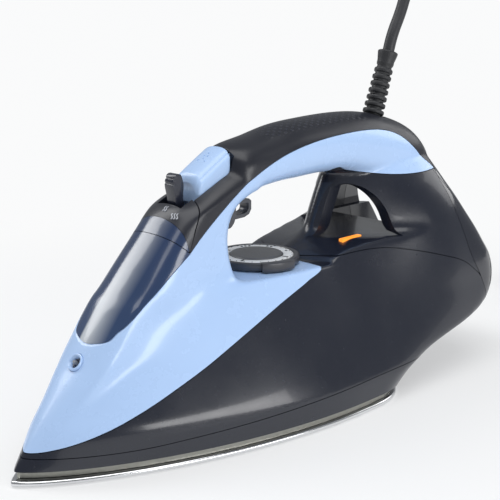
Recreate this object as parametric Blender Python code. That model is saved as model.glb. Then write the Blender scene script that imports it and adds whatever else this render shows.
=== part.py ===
"""Steam iron, nose towards -Y, heel towards +Y, sole on z = 0. Lengths in the tables are millimetres."""

import math

import bmesh
import bpy
from mathutils import Matrix, Vector

MM = 0.001

# Driving dimensions (millimetres)
WALL = 2.4                 # moulded shell thickness
SEAM = 0.35                # gap between neighbouring shell pieces
SOLE_THICK = 3.0           # steam plate
SOLE_HALF_WIDTH = 60.0
SKIRT_BOTTOM = 7.0
DECK_Z = 76.5              # top of the body in front of the strut
FLOOR_Z = 84.0             # floor under the rear arch
DIAL_Y = -1.0
DIAL_RADIUS = 23.3
BUTTON_HALF_WIDTH = 9.8
HINGE_DOOR = (0.0, -75.2, 104.6)
HINGE_BUTTON = (0.0, -21.8, 137.0)
HINGE_TRIGGER = (0.0, -31.0, 112.5)
HINGE_LEVER = (0.0, -54.0, 106.0)
LEVER_AXIS = (0.0, 0.8, 0.6)
PUMP_X = 8.0
PUMP_Y = -44.5
NEEDLE_Y = -60.0
SPRING_LOW = 98.9
SPRING_HIGH = 107.1
NOZZLE_POINT = (0.0, -120.0, 50.0)
NOZZLE_NORMAL = (0.0, -0.753, 0.658)
SCREW_X = 38.0
SCREW_Z = 50.0
GUARD_BASE = (0.0, 94.6, 145.6)
GUARD_AXIS = (0.0, 0.342, 0.940)
GUARD_LENGTH = 40.0
COIL_CENTRE = (10.0, 338.0)
COIL_RADII = (29.2, 51.2)
COIL_HEIGHT = 14.4
CORD_DIAMETER = 7.0

# Side-view profile tables: (z, y)
NOSE_LINE = [(0, -158), (6, -156.5), (15, -150), (40, -128.6), (50, -120), (60, -113.2), (80, -97.5), (90, -88.8),
             (100, -80), (113, -68), (125, -56)]
BOW_WIDTH = [(12, 2), (18, 5), (30, 11), (42, 16), (56, 19), (80, 19.5)]
REAR_LINE = [(0, 74), (5, 75), (10, 81), (16, 90), (22, 101), (26, 114), (30, 130), (34, 142), (42, 154),
             (50, 159), (56, 160), (63, 159), (72, 154), (80, 149), (90, 142), (100, 136), (110, 131), (124, 127)]
KEEL_LINE = [(76.5, 14), (80, 20), (83, 28), (86, 36), (89, 39.5), (95, 42), (104, 46), (112, 50), (124, 57)]
REAR_WIDTH = [(5, 59), (18, 60), (54, 54), (80, 48), (90, 45), (100, 41), (110, 35), (118, 28.5), (124, 23)]

# Side-view seams: (y, z), front to rear
BLUE_LOWER = [(-175, 13.5), (-152, 14.5), (-140, 16.5), (-121, 25), (-99, 31), (-88, 37), (-70, 43), (-56, 50),
              (-40, 57), (-18, 64), (3, 71), (17, 76.2), (19, 82)]
GRIP_LOWER = [(38, 112), (46, 123.5), (59, 120.5), (81, 117), (100, 116), (119, 116.8)]
GRIP_UPPER = [(-65.2, 95.8), (-57, 102.8), (-42, 113.5), (-22, 126), (2, 135.5), (37, 141.5), (80, 142), (96, 137.5),
              (107, 129.5), (115, 121.5), (119, 116.8)]
WINDOW_BOTTOM = [(-130, 50), (-114.8, 57.6), (-113.2, 58.9), (-109.8, 61.2), (-106.4, 64.6)]
WINDOW_SIDE = [(-106.4, 64.6), (-98.5, 69), (-90.2, 74.6), (-77, 84.5), (-65.2, 95.8)]
BAND_LOWER = [(-103, 131), (-81, 110.5), (-65.2, 95.8)]
BAND_UPPER = [(-82, 143.5), (-58.5, 126.5), (-53.8, 119.5)]
SKIRT_LINE = [(-175, 12.6), (-110, 12.8), (-85, 14.2), (-50, 15.8), (-10, 17.4), (40, 18.8), (160, 20)]
ARCH_LOWER = [(10, 76.3), (30, 79.2), (60, 80), (80, 76.5), (100, 71), (120, 64), (134, 54)]
REAR_SEAM = [(150, 12), (138, 26), (138, 41), (134, 54), (128, 66), (124, 79), (120.5, 92), (118, 103), (117, 112),
             (119, 116.8), (123, 126), (136, 146)]
ARCH_HOLE = [(37.5, 84.3), (38.5, 90), (44, 98.5), (50, 106), (56, 110.8), (61, 112.6), (67, 110.8), (73, 105.5),
             (77, 98), (79.5, 90), (80.5, 84.3)]

# Handle sections: front or top point (y, z), inner point (y, z), half width, nose power, nose share, rear share
HANDLE_SECTIONS = [
    ((-104.0, 64.0), (-38.0, 61.0), 16.0, 0.50, 0.20, 0.88),
    ((-100.0, 76.0), (-31.5, 75.0), 21.5, 0.50, 0.22, 0.88),
    ((-91.6, 86.0), (-33.5, 84.5), 20.6, 0.50, 0.22, 0.86),
    ((-83.2, 95.5), (-34.3, 93.5), 19.6, 0.50, 0.24, 0.82),
    ((-74.0, 105.5), (-33.2, 102.0), 19.0, 0.50, 0.27, 0.76),
    ((-64.8, 115.0), (-30.0, 108.0), 18.4, 0.50, 0.32, 0.70),
    ((-51.5, 121.5), (-25.0, 113.0), 18.0, 0.50, 0.40, 0.62),
    ((-37.0, 128.5), (-17.0, 116.5), 18.0, 0.50, 0.50, 0.60),
    ((-31.5, 131.4), (-12.0, 117.6), 18.0, 0.50, 0.50, 0.60),
    ((-26.8, 141.2), (-7.0, 118.6), 18.0, 0.50, 0.48, 0.60),
    ((-6.0, 145.8), (7.0, 119.8), 18.0, 0.50, 0.48, 0.60),
    ((14.0, 149.8), (20.0, 120.0), 18.0, 0.50, 0.48, 0.60),
    ((38.0, 151.4), (40.0, 120.6), 18.4, 0.50, 0.48, 0.62),
    ((60.0, 151.9), (58.0, 119.0), 19.4, 0.50, 0.50, 0.64),
    ((78.0, 151.0), (72.0, 115.0), 20.8, 0.50, 0.52, 0.66),
    ((94.0, 148.4), (88.0, 113.0), 22.0, 0.50, 0.55, 0.68),
    ((108.0, 144.6), (103.0, 112.5), 22.8, 0.50, 0.60, 0.70),
    ((118.0, 140.0), (113.0, 112.5), 22.6, 0.50, 0.65, 0.70),
    ((125.5, 133.0), (120.5, 112.8), 21.0, 0.50, 0.70, 0.70),
    ((129.0, 126.5), (126.0, 114.5), 17.0, 0.50, 0.70, 0.70),
]

# Cord route after the guard, its tie and its plug
CORD_ROUTE = [(0.0, 119.0, 206.0), (0.0, 124.0, 217.0), (1.0, 132.0, 233.0), (3.0, 144.0, 250.0),
              (8.0, 162.0, 262.0), (17.0, 188.0, 262.0), (26.0, 212.0, 243.0), (33.0, 226.0, 210.0),
              (38.0, 233.0, 165.0), (42.0, 238.0, 110.0), (46.0, 242.0, 60.0), (50.0, 250.0, 24.0),
              (54.0, 266.0, 7.0), (57.0, 288.0, 3.9), (57.3, 311.0, 3.8)]
CORD_TAIL = [(57.4, 366.5, 6.6), (57.3, 376.0, 5.2), (54.9, 389.0, 4.4), (48.6, 399.9, 4.9),
             (39.2, 407.9, 7.4), (28.0, 411.6, 11.2), (20.0, 412.0, 13.3), (14.6, 412.0, 13.4)]
TIE_ANGLE = 150.0
PLUG_POINT = (14.0, 412.0)
PLUG_ANGLE = 180.0
PLUG_Z = 13.4

COLOURS = {
    "blue": ((0.45, 0.63, 0.90), 0.0, 0.35),
    "navy": ((0.022, 0.026, 0.045), 0.0, 0.38),
    "charcoal": ((0.045, 0.047, 0.055), 0.0, 0.42),
    "gloss": ((0.018, 0.021, 0.035), 0.0, 0.12),
    "window": ((0.02, 0.05, 0.13), 0.0, 0.05),
    "tank": ((0.10, 0.20, 0.42), 0.0, 0.15),
    "steel": ((0.72, 0.73, 0.75), 1.0, 0.22),
    "aluminium": ((0.50, 0.49, 0.46), 1.0, 0.45),
    "brass": ((0.72, 0.55, 0.24), 1.0, 0.30),
    "white": ((0.86, 0.86, 0.84), 0.0, 0.45),
    "grey": ((0.30, 0.31, 0.32), 0.0, 0.50),
    "rubber": ((0.03, 0.03, 0.033), 0.0, 0.65),
    "amber": ((0.95, 0.38, 0.03), 0.0, 0.25),
    "red": ((0.45, 0.06, 0.04), 0.0, 0.50),
    "board": ((0.03, 0.16, 0.07), 0.0, 0.50),
}

materials = {}


# ---------------------------------------------------------------- small helpers

def clear_scene():
    for obj in list(bpy.data.objects):
        bpy.data.objects.remove(obj, do_unlink=True)


def collection(name):
    made = bpy.data.collections.new(name)
    bpy.context.scene.collection.children.link(made)
    return made


def material(name):
    if name in materials:
        return materials[name]
    colour, metallic, roughness = COLOURS[name]
    made = bpy.data.materials.new(name)
    made.use_nodes = True
    shader = made.node_tree.nodes["Principled BSDF"]
    shader.inputs["Base Color"].default_value = (*colour, 1.0)
    shader.inputs["Metallic"].default_value = metallic
    shader.inputs["Roughness"].default_value = roughness
    materials[name] = made
    return made


def smooth_step(low, high, value):
    t = min(max((value - low) / (high - low), 0.0), 1.0)
    return t * t * (3.0 - 2.0 * t)


def follow(table, value):
    """Monotone cubic through hand-chosen (key, value) pairs."""
    if value <= table[0][0]:
        return table[0][1]
    if value >= table[-1][0]:
        return table[-1][1]
    count = len(table)
    steps = [table[i + 1][0] - table[i][0] for i in range(count - 1)]
    slopes = [(table[i + 1][1] - table[i][1]) / steps[i] for i in range(count - 1)]
    tangents = [slopes[0]]
    for i in range(1, count - 1):
        left, right = slopes[i - 1], slopes[i]
        tangents.append(0.0 if left * right <= 0 else 2.0 * left * right / (left + right))
    tangents.append(slopes[-1])
    i = 0
    while value > table[i + 1][0]:
        i += 1
    h = steps[i]
    t = (value - table[i][0]) / h
    return ((2 * t ** 3 - 3 * t ** 2 + 1) * table[i][1] + (t ** 3 - 2 * t ** 2 + t) * h * tangents[i]
            + (-2 * t ** 3 + 3 * t ** 2) * table[i + 1][1] + (t ** 3 - t ** 2) * h * tangents[i + 1])


def mesh_object(name, bm, colour, home, smooth=True):
    """Turn a bmesh in millimetres into a named object in metres."""
    bmesh.ops.remove_doubles(bm, verts=bm.verts, dist=1e-4)
    bmesh.ops.recalc_face_normals(bm, faces=bm.faces)
    for vertex in bm.verts:
        vertex.co *= MM
    mesh = bpy.data.meshes.new(name)
    bm.to_mesh(mesh)
    bm.free()
    for polygon in mesh.polygons:
        polygon.use_smooth = smooth
    if colour:
        mesh.materials.append(material(colour))
    obj = bpy.data.objects.new(name, mesh)
    home.objects.link(obj)
    return obj


def loft(rings):
    """Closed solid through rings of equal point count."""
    bm = bmesh.new()
    rows = [[bm.verts.new(point) for point in ring] for ring in rings]
    count = len(rings[0])
    for lower, upper in zip(rows, rows[1:]):
        for i in range(count):
            j = (i + 1) % count
            bm.faces.new((lower[i], lower[j], upper[j], upper[i]))
    bm.faces.new(rows[0])
    bm.faces.new(list(reversed(rows[-1])))
    return bm


def prism(outline, half_width, centre_x=0.0):
    """Side-view outline of (y, z) points run across the iron."""
    near = [(centre_x + half_width, y, z) for y, z in outline]
    far = [(centre_x - half_width, y, z) for y, z in outline]
    return loft([far, near])


def box(low, high):
    bm = bmesh.new()
    size = Vector(high) - Vector(low)
    middle = (Vector(high) + Vector(low)) / 2
    bmesh.ops.create_cube(bm, size=1.0, matrix=Matrix.Translation(middle) @ Matrix.Diagonal((*size, 1.0)))
    return bm


def cylinder(radius, low, high, sides=24, top_radius=None, x=0.0, y=0.0):
    bm = bmesh.new()
    top = radius if top_radius is None else top_radius
    place = Matrix.Translation((x, y, (low + high) / 2))
    bmesh.ops.create_cone(bm, cap_ends=True, segments=sides, radius1=radius, radius2=top,
                          depth=high - low, matrix=place)
    return bm


def turned(profile, sides=24):
    """Solid of revolution about Z from (radius, z) points, axis points given as radius 0."""
    bm = bmesh.new()
    bottom, top = profile[0][1], profile[-1][1]
    rings = []
    for radius, z in profile:
        rings.append([bm.verts.new((radius * math.cos(2 * math.pi * i / sides),
                                    radius * math.sin(2 * math.pi * i / sides), z)) for i in range(sides)])
    for lower, upper in zip(rings, rings[1:]):
        for i in range(sides):
            j = (i + 1) % sides
            bm.faces.new((lower[i], lower[j], upper[j], upper[i]))
    if abs(bottom - top) > 1e-9 or profile[0][0] != profile[-1][0]:
        bm.faces.new(list(reversed(rings[0])))
        bm.faces.new(rings[-1])
    return bm


def turned_ring(profile, sides=24):
    """Ring of revolution about Z whose (radius, z) outline closes on itself."""
    bm = bmesh.new()
    rings = []
    for i in range(sides):
        angle = 2 * math.pi * i / sides
        rings.append([bm.verts.new((r * math.cos(angle), r * math.sin(angle), z)) for r, z in profile])
    count = len(profile)
    for i in range(sides):
        nxt = rings[(i + 1) % sides]
        for k in range(count):
            m = (k + 1) % count
            bm.faces.new((rings[i][k], rings[i][m], nxt[m], nxt[k]))
    return bm


def moved(bm, offset=(0, 0, 0), rotation=None):
    place = Matrix.Translation(offset)
    if rotation is not None:
        place = place @ rotation
    bmesh.ops.transform(bm, matrix=place, verts=bm.verts)
    return bm


def cut(obj, tool, operation="DIFFERENCE"):
    modifier = obj.modifiers.new(tool.name, "BOOLEAN")
    modifier.operation = operation
    modifier.solver = "EXACT"
    modifier.object = tool
    return modifier


def tool(name, bm):
    made = mesh_object(name, bm, None, cutters, smooth=False)
    made.hide_render = True
    made.display_type = "WIRE"
    return made


def tube(name, points, radius, colour, sides_resolution=2, spline_type="POLY"):
    """Round rod along points in millimetres."""
    curve = bpy.data.curves.new(name, "CURVE")
    curve.dimensions = "3D"
    curve.bevel_depth = radius * MM
    curve.bevel_resolution = sides_resolution
    curve.use_fill_caps = True
    spline = curve.splines.new(spline_type)
    spline.points.add(len(points) - 1)
    for target, point in zip(spline.points, points):
        target.co = (point[0] * MM, point[1] * MM, point[2] * MM, 1.0)
    curve.materials.append(material(colour))
    obj = bpy.data.objects.new(name, curve)
    parts.objects.link(obj)
    weld = obj.modifiers.new("weld", "WELD")
    weld.merge_threshold = 0.00001
    return obj


# ---------------------------------------------------------------- outer form

def side_width(y, z):
    """Half width away from the nose and heel roundings."""
    taper = (max(0.0, z - 18.0) / 67.0) ** 1.1
    front = SOLE_HALF_WIDTH * (1.0 - 0.55 * taper)
    rear = follow(REAR_WIDTH, z)
    return front + (rear - front) * smooth_step(20.0, 115.0, y)


def nose_factor(y, nose, power):
    length = 18.0 - nose
    t = min(max((y - nose) / length, 0.0), 1.0)
    return (1.0 - (1.0 - t) ** 1.84) ** power


def rear_factor(y, rear, length, power):
    r = min(max((rear - y) / length, 0.0), 1.0)
    return (1.0 - (1.0 - r) ** power) ** (1.0 / power)


def body_width(y, z, nose, rear):
    power = 0.78 - 0.20 * smooth_step(4.0, 26.0, z)
    bow = follow(BOW_WIDTH, z) * math.sqrt(1.0 - (1.0 - min(max(y - nose, 0.0) / 7.0, 1.0)) ** 2)
    corner = 45.0 - 20.0 * smooth_step(12.0, 40.0, z)
    squareness = 2.6 + 1.2 * smooth_step(12.0, 40.0, z)
    hull = side_width(y, z) * nose_factor(y, nose, power)
    gap = max(6.0 - abs(hull - bow), 0.0) * min(bow, 6.0) / 6.0
    return (max(hull, bow) + gap * gap / 24.0) * rear_factor(y, rear, corner, squareness)


def mirrored_ring(half):
    """Full ring from its +X half, which starts and ends on the middle plane."""
    return half + [(-x, y, z) for x, y, z in reversed(half[1:-1])]


def spread(low, high, share):
    return low + (high - low) * (1.0 - math.cos(math.pi * share)) / 2.0


def body_ring(z, steps, inset=0.0, rear_inset=0.0):
    nose = follow(NOSE_LINE, z) + inset * 1.3
    rear = follow(REAR_LINE, z) - max(inset, rear_inset)
    half = []
    for i in range(steps + 1):
        y = spread(nose, rear, i / steps)
        x = body_width(y, z, nose, rear) - inset if 0 < i < steps else 0.0
        half.append((max(x, 0.0 if i in (0, steps) else 0.4), y, z))
    return mirrored_ring(half)


def body_solid(steps=18, inset=0.0, low=SKIRT_BOTTOM, high=DECK_Z):
    levels = [low, 10, 14, 18, 24, 30, 36, 44, 54, 64, high]
    if inset:
        levels = [low, 14, 22, 30, 40, 56, high]
    rings = [body_ring(z, steps, inset, inset * (2.6 if z < 44 else 1.2)) for z in levels]
    return loft(rings)


def keel_width(y, z, keel):
    """Half width of the heel arch: a narrow keel that opens out towards the heel."""
    t = max(y - keel, 0.0)
    tip = 5.5 * math.sqrt(1.0 - (1.0 - min(t / 5.5, 1.0)) ** 2)
    slope = 0.75 + 2.2 * (1.0 - smooth_step(76.5, 86.0, z))
    opened = tip + slope * max(t - 2.0, 0.0)
    full = side_width(y, z)
    blend = 5.0
    gap = max(blend - abs(opened - full), 0.0)
    return min(opened, full) - gap * gap / (4.0 * blend)


def arch_ring(z, steps, inset=0.0):
    keel = follow(KEEL_LINE, z) + inset
    rear = follow(REAR_LINE, z) - inset
    half = []
    for i in range(steps + 1):
        y = spread(keel, rear, i / steps)
        x = keel_width(y, z, keel) * rear_factor(y, rear, 25.0, 3.8) - inset if 0 < i < steps else 0.0
        half.append((max(x, 0.0 if i in (0, steps) else 0.4), y, z))
    return mirrored_ring(half)


def arch_solid(steps=14):
    levels = [DECK_Z - 0.5, 79, 81.5, 84, 89, 96, 104, 112, 118, 123]
    return loft([arch_ring(z, steps) for z in levels])


def handle_ring(section, steps, inset=0.0):
    (ty, tz), (by, bz), width, power, nose_share, rear_share = section
    length = math.hypot(by - ty, bz - tz)
    shrink = inset / length
    half = []
    for i in range(steps + 1):
        share = spread(0.0, 1.0, i / steps)
        along = shrink + (1.0 - 2.0 * shrink) * share
        nose = (1.0 - (1.0 - min(share / nose_share, 1.0)) ** 2) ** power
        t = max(0.0, (share - rear_share) / (1.0 - rear_share))
        rear = (1.0 - t ** 2.4) ** (1.0 / 2.4)
        x = (width - inset) * nose * rear if 0 < i < steps else 0.0
        half.append((x, ty + (by - ty) * along, tz + (bz - tz) * along))
    return mirrored_ring(half)


def handle_solid(steps=12, inset=0.0):
    sections = HANDLE_SECTIONS if not inset else HANDLE_SECTIONS[:-1:2]
    return loft([handle_ring(section, steps, inset) for section in sections])


def offset_line(points, distance):
    """Shift a side-view polyline sideways; positive is to its left."""
    shifted = []
    for i, (y, z) in enumerate(points):
        before = points[max(i - 1, 0)]
        after = points[min(i + 1, len(points) - 1)]
        dy, dz = after[0] - before[0], after[1] - before[1]
        length = math.hypot(dy, dz)
        shifted.append((y - dz / length * distance, z + dy / length * distance))
    return shifted


def build_envelope():
    """Hollow form that the outer mouldings are cut from."""
    outer = tool("form_body", body_solid())
    cut(outer, tool("form_handle", handle_solid()), "UNION")
    cut(outer, tool("form_arch", arch_solid()), "UNION")
    cavity = tool("hollow_body", body_solid(10, WALL, 5.0, DECK_Z - WALL))
    cut(cavity, tool("ramp_floor", prism(ramp_outline(WALL), 42.0)))
    cut(cavity, tool("hollow_handle", handle_solid(8, WALL)), "UNION")
    opening = tool("hollow_heel", heel_hollow())
    for side in (1, -1):
        cut(opening, tool("hollow_arch_hole_%d" % side, prism(ARCH_HOLE, 32.25, side * 37.75)), "UNION")
    cut(opening, tool("heel_ramp", prism(ramp_outline(0.0), 38.5)), "UNION")
    cut(outer, opening)
    cut(outer, cavity)
    outer.modifiers.new("triangles", "TRIANGULATE")
    return outer


def heel_hollow():
    """Space between the heel legs, open to the rear above the floor and its ramp."""
    rings = []
    for z in (FLOOR_Z, 88, 93, 98, 103, 108, 111):
        keel = follow(KEEL_LINE, z) + 9.0
        rear = 175.0
        half = []
        for i in range(11):
            y = spread(keel, rear, i / 10)
            reach = keel_width(min(y, 112.0), z, keel - 4.0) - 3.4
            x = reach * min(1.0, (y - keel) / 3.0) if 0 < i < 10 else 0.0
            half.append((max(x, 0.0 if i in (0, 10) else 0.4), y, z))
        rings.append(mirrored_ring(half))
    return loft(rings)


def ramp_outline(drop):
    """Side outline of the space above the sloping floor that runs out of the heel."""
    top = 89.3
    return [(100.5, FLOOR_Z + 0.2 - drop), (128, 74.5 - drop), (152, 61 - drop), (185, 52 - drop),
            (185, top), (100.5, top)]


def shell_piece(name, outline, colour, envelope, half_width=80.0, centre_x=0.0):
    """Part of the outer skin inside a side-view outline."""
    obj = mesh_object(name, prism(outline, half_width, centre_x), colour, parts)
    cut(obj, envelope, "INTERSECT")
    obj.modifiers.new("triangles", "TRIANGULATE")
    return obj


def reversed_offset(line, distance):
    """Offset line read backwards, without the point where it started."""
    return list(reversed(offset_line(line, distance)[:-1]))


def build_front_shell(envelope):
    gap = SEAM / 2.0
    outline = [(-175, 60)] + offset_line(BLUE_LOWER, gap)
    outline += [(24, 82), (30, 100)] + offset_line(GRIP_LOWER, gap)[:-1]
    outline += [(118.0, 116.9)] + reversed_offset(GRIP_UPPER, -gap)
    outline += reversed_offset(WINDOW_SIDE, -gap) + reversed_offset(WINDOW_BOTTOM, -gap)
    shell = shell_piece("front_shell", outline, "blue", envelope)
    cut(shell, tool("nozzle_bore", nozzle_solid(4.6, -12.0, 12.0)))
    cut(shell, tool("spindle_bore", cylinder(5.0, 60, 90, 20, y=DIAL_Y)))
    slot = [(-30.5, 98), (-17.5, 98), (-17.5, 118.2), (-34.6, 118.2), (-34.6, 109), (-30.5, 107)]
    cut(shell, tool("trigger_slot", prism(slot, 5.2)))
    cut(shell, tool("dial_pocket_front", dial_pocket()))
    cut(shell, tool("duct_front", wiring_duct()))


def build_fill_door(envelope):
    gap = SEAM / 2.0
    outline = offset_line(WINDOW_BOTTOM, gap) + offset_line(WINDOW_SIDE, gap)[1:]
    outline += list(reversed(offset_line(BAND_LOWER, -gap)))[1:] + [(-130, 110)]
    set_origin(shell_piece("fill_door", outline, "window", envelope), HINGE_DOOR)


def build_steam_collar(envelope):
    gap = SEAM / 2.0
    outline = offset_line(BAND_LOWER, gap)[:-1] + [(-65.3, 96.3), (-60.8, 107.0), (-54.3, 119.1)]
    outline += list(reversed(offset_line(BAND_UPPER, -gap)))[1:]
    collar = shell_piece("steam_collar", outline, "charcoal", envelope)
    cut(collar, tool("lever_slot", lever_slot()))


def build_handle_cover(envelope):
    gap = SEAM / 2.0
    outline = offset_line(GRIP_UPPER, gap)[:-1]
    outline += [(118.7, 117.3)] + offset_line(REAR_SEAM, gap)[-2:]
    outline += [(120, 175), (-60, 175), (-80, 145)] + offset_line(BAND_UPPER, gap)[1:-1]
    outline += [(-53.7, 119.2), (-60.3, 106.7)]
    cover = shell_piece("handle_cover", outline, "charcoal", envelope)
    cut(cover, tool("button_well", button_well()))
    cut(cover, tool("button_hinge_pocket", button_hinge_pocket()))
    cut(cover, tool("guard_bore", guard_bore()))


def build_heel_arch(envelope):
    gap = SEAM / 2.0
    outline = [(17.6, 76.2)] + [point for point in offset_line(ARCH_LOWER, gap)[:-1] if point[0] > 20]
    outline += offset_line(REAR_SEAM, gap)[3:9] + reversed_offset(GRIP_LOWER, -gap)
    outline += [(30, 100), (24.4, 82.2), (19.4, 82.2)]
    arch = shell_piece("heel_arch", outline, "navy", envelope)
    cut(arch, tool("lamp_bore", lamp_box(0.35, -4.0)))
    cut(arch, tool("duct_arch", wiring_duct()))
    cut(arch, tool("dial_pocket_arch", dial_pocket()))


def build_side_panels(envelope):
    for label, centre in (("right", 40.1), ("left", -40.1)):
        panel = shell_piece("side_panel_" + label, side_panel_outline(), "navy", envelope, 40.0, centre)
        cut(panel, tool("duct_" + label, wiring_duct()))


def build_rear_cover(envelope):
    outline = [(200, 12)] + offset_line(REAR_SEAM, -SEAM / 2.0) + [(200, 150)]
    cover = shell_piece("rear_cover", outline, "gloss", envelope)
    for sign in (-1, 1):
        hole = rod((sign * SCREW_X, 148, SCREW_Z), (sign * SCREW_X, 170, SCREW_Z), 1.9, 12)
        cut(cover, tool("screw_hole_%d" % sign, hole))


def build_skirt(envelope):
    outline = [(-175, SKIRT_BOTTOM - 1), (160, SKIRT_BOTTOM - 1)]
    outline += list(reversed(offset_line(SKIRT_LINE, -SEAM / 2.0)))
    shell_piece("skirt", outline, "navy", envelope)


def wiring_duct():
    """Passage for the mains wires through the strut between handle and body."""
    return rod((0, 60.5, 126), (0, 33.5, 71), 2.1, 14)


def dial_pocket():
    return cylinder(DIAL_RADIUS + 0.7, 76.9, 90.0, 28, y=DIAL_Y)


def side_panel_outline():
    gap = SEAM / 2.0
    low = list(reversed(offset_line(SKIRT_LINE, gap)))[1:]
    upper = offset_line(BLUE_LOWER, -gap)[1:-1] + offset_line(ARCH_LOWER, -gap)[1:-1]
    back = list(reversed(offset_line(REAR_SEAM, gap)[1:4])) + [(143, 20.2)]
    return low + upper + back


def nozzle_solid(radius, low, high, sides=20, top_radius=None):
    """Cylinder along the outward normal of the nose at the spray opening."""
    turn = Vector(NOZZLE_NORMAL).to_track_quat("Z", "Y").to_matrix().to_4x4()
    return moved(cylinder(radius, low, high, sides, top_radius), NOZZLE_POINT, turn)


def button_well():
    """Opening in the handle nose that the spray button dips into."""
    outline = [(-62, 112), (-46, 112.5), (-26.8, 122.8), (-26.8, 160), (-62, 160)]
    return prism(outline, BUTTON_HALF_WIDTH + 0.4)


def button_hinge_pocket():
    """Recess under the handle top for the hinge tongue of the spray button."""
    return box((-7.2, -31, 130.4), (7.2, -18.7, 139.4))


def lever_slot():
    return box((-8.8, -61.5, 110), (8.8, -50.0, 126))


def lamp_box(grow, drop):
    """Lens of the lamp beside the strut; grow and a negative drop make its opening."""
    low = (19.2 - grow, 44.5 - grow, FLOOR_Z - 1.2 + drop)
    high = (22.0 + grow, 60.5 + grow, FLOOR_Z + 0.9 - drop * 0.5)
    return box(low, high)


def guard_bore():
    return rod((0, 93.5, 136), (0, 98.5, 162), 8.2)


def rod(start, end, radius, sides=20):
    """Solid cylinder between two points."""
    first, last = Vector(start), Vector(end)
    turn = (last - first).to_track_quat("Z", "Y").to_matrix().to_4x4()
    return moved(cylinder(radius, 0.0, (last - first).length, sides), first, turn)


def plate_ring(z, nose_inset, inset, rear_y, steps=14):
    """Body outline at a height, pulled in from the nose and sides and cut off flat at the rear."""
    nose = follow(NOSE_LINE, z) + nose_inset
    rear = follow(REAR_LINE, z) - inset
    last = min(rear, rear_y)
    half = []
    for i in range(steps + 1):
        y = nose + (last - nose) * (1.0 - math.cos(math.pi / 2 * i / steps))
        x = body_width(y, z, nose - nose_inset, rear + inset) - inset
        if last == rear and i == steps:
            x = 0.0
        half.append((0.0 if i == 0 else max(x, 0.5), y, z))
    if last < rear:
        half.append((0.0, last, z))
    return mirrored_ring(half)


def flipped(bm, turn, offset=(0, 0, 0)):
    return moved(bm, offset, turn.to_matrix().to_4x4())


def piece(name, bm, colour, smooth=True):
    return mesh_object(name, bm, colour, parts, smooth)


# ---------------------------------------------------------------- sole and heater

def build_soleplate():
    rings = [body_ring(0.6, 24, inset) for inset in (1.0, 0.2, 0.0, 0.5)]
    for ring, z in zip(rings, (0.0, 0.8, 2.2, 3.0)):
        ring[:] = [(x, y, z) for x, y, _ in ring]
    plate = piece("soleplate", loft(rings), "steel")
    for y, half in ((-112, 7), (-92, 14), (-70, 20), (-46, 26), (-20, 31), (8, 34), (34, 35)):
        for share in (-1.0, 1.0):
            x = half * share
            cut(plate, tool("steam_hole", cylinder(1.5, -1, 4, 6, x=x, y=y)))
    for y in (-124, -58, 0, 44):
        cut(plate, tool("steam_hole_mid", cylinder(1.5, -1, 4, 6, x=0.0, y=y)))
    return plate


def build_casting():
    ledge = [[(x, y, z) for x, y, _ in body_ring(3.6, 20, 2.0)] for z in (3.3, 6.7)]
    casting = piece("sole_casting", loft(ledge), "aluminium")
    core = [[(x, y, z) for x, y, _ in plate_ring(10.0, 13.0, 6.8, 46.5)] for z in (6.0, 14.0)]
    cut(casting, tool("casting_core", loft(core)), "UNION")
    chamber = [[(x, y, z) for x, y, _ in plate_ring(10.0, 60.0, 26.0, 40.0, 10)] for z in (9.0, 15.0)]
    cut(casting, tool("steam_chamber", loft(chamber)))
    cut(casting, tool("element_groove", loft(element_groove())))
    return casting


def element_line(steps=9):
    """Heating element centre line, from the right terminal round the nose to the left terminal."""
    right = []
    for i in range(steps):
        y = 40.0 - (40.0 + 108.0) * i / (steps - 1)
        right.append((body_width(y, 10.0, follow(NOSE_LINE, 10.0), follow(REAR_LINE, 10.0)) - 16.0, y))
    return right + [(-x, y) for x, y in reversed(right)]


def element_groove():
    line = element_line()
    line = [(line[0][0], 56.0)] + line + [(line[-1][0], 56.0)]
    left, right = [], []
    for i, (x, y) in enumerate(line):
        before, after = line[max(i - 1, 0)], line[min(i + 1, len(line) - 1)]
        dx, dy = after[0] - before[0], after[1] - before[1]
        length = math.hypot(dx, dy)
        left.append((x - dy / length * 4.0, y + dx / length * 4.0))
        right.append((x + dy / length * 4.0, y - dx / length * 4.0))
    outline = left + list(reversed(right))
    return [[(x, y, 10.2) for x, y in outline], [(x, y, 15.0) for x, y in outline]]


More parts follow.
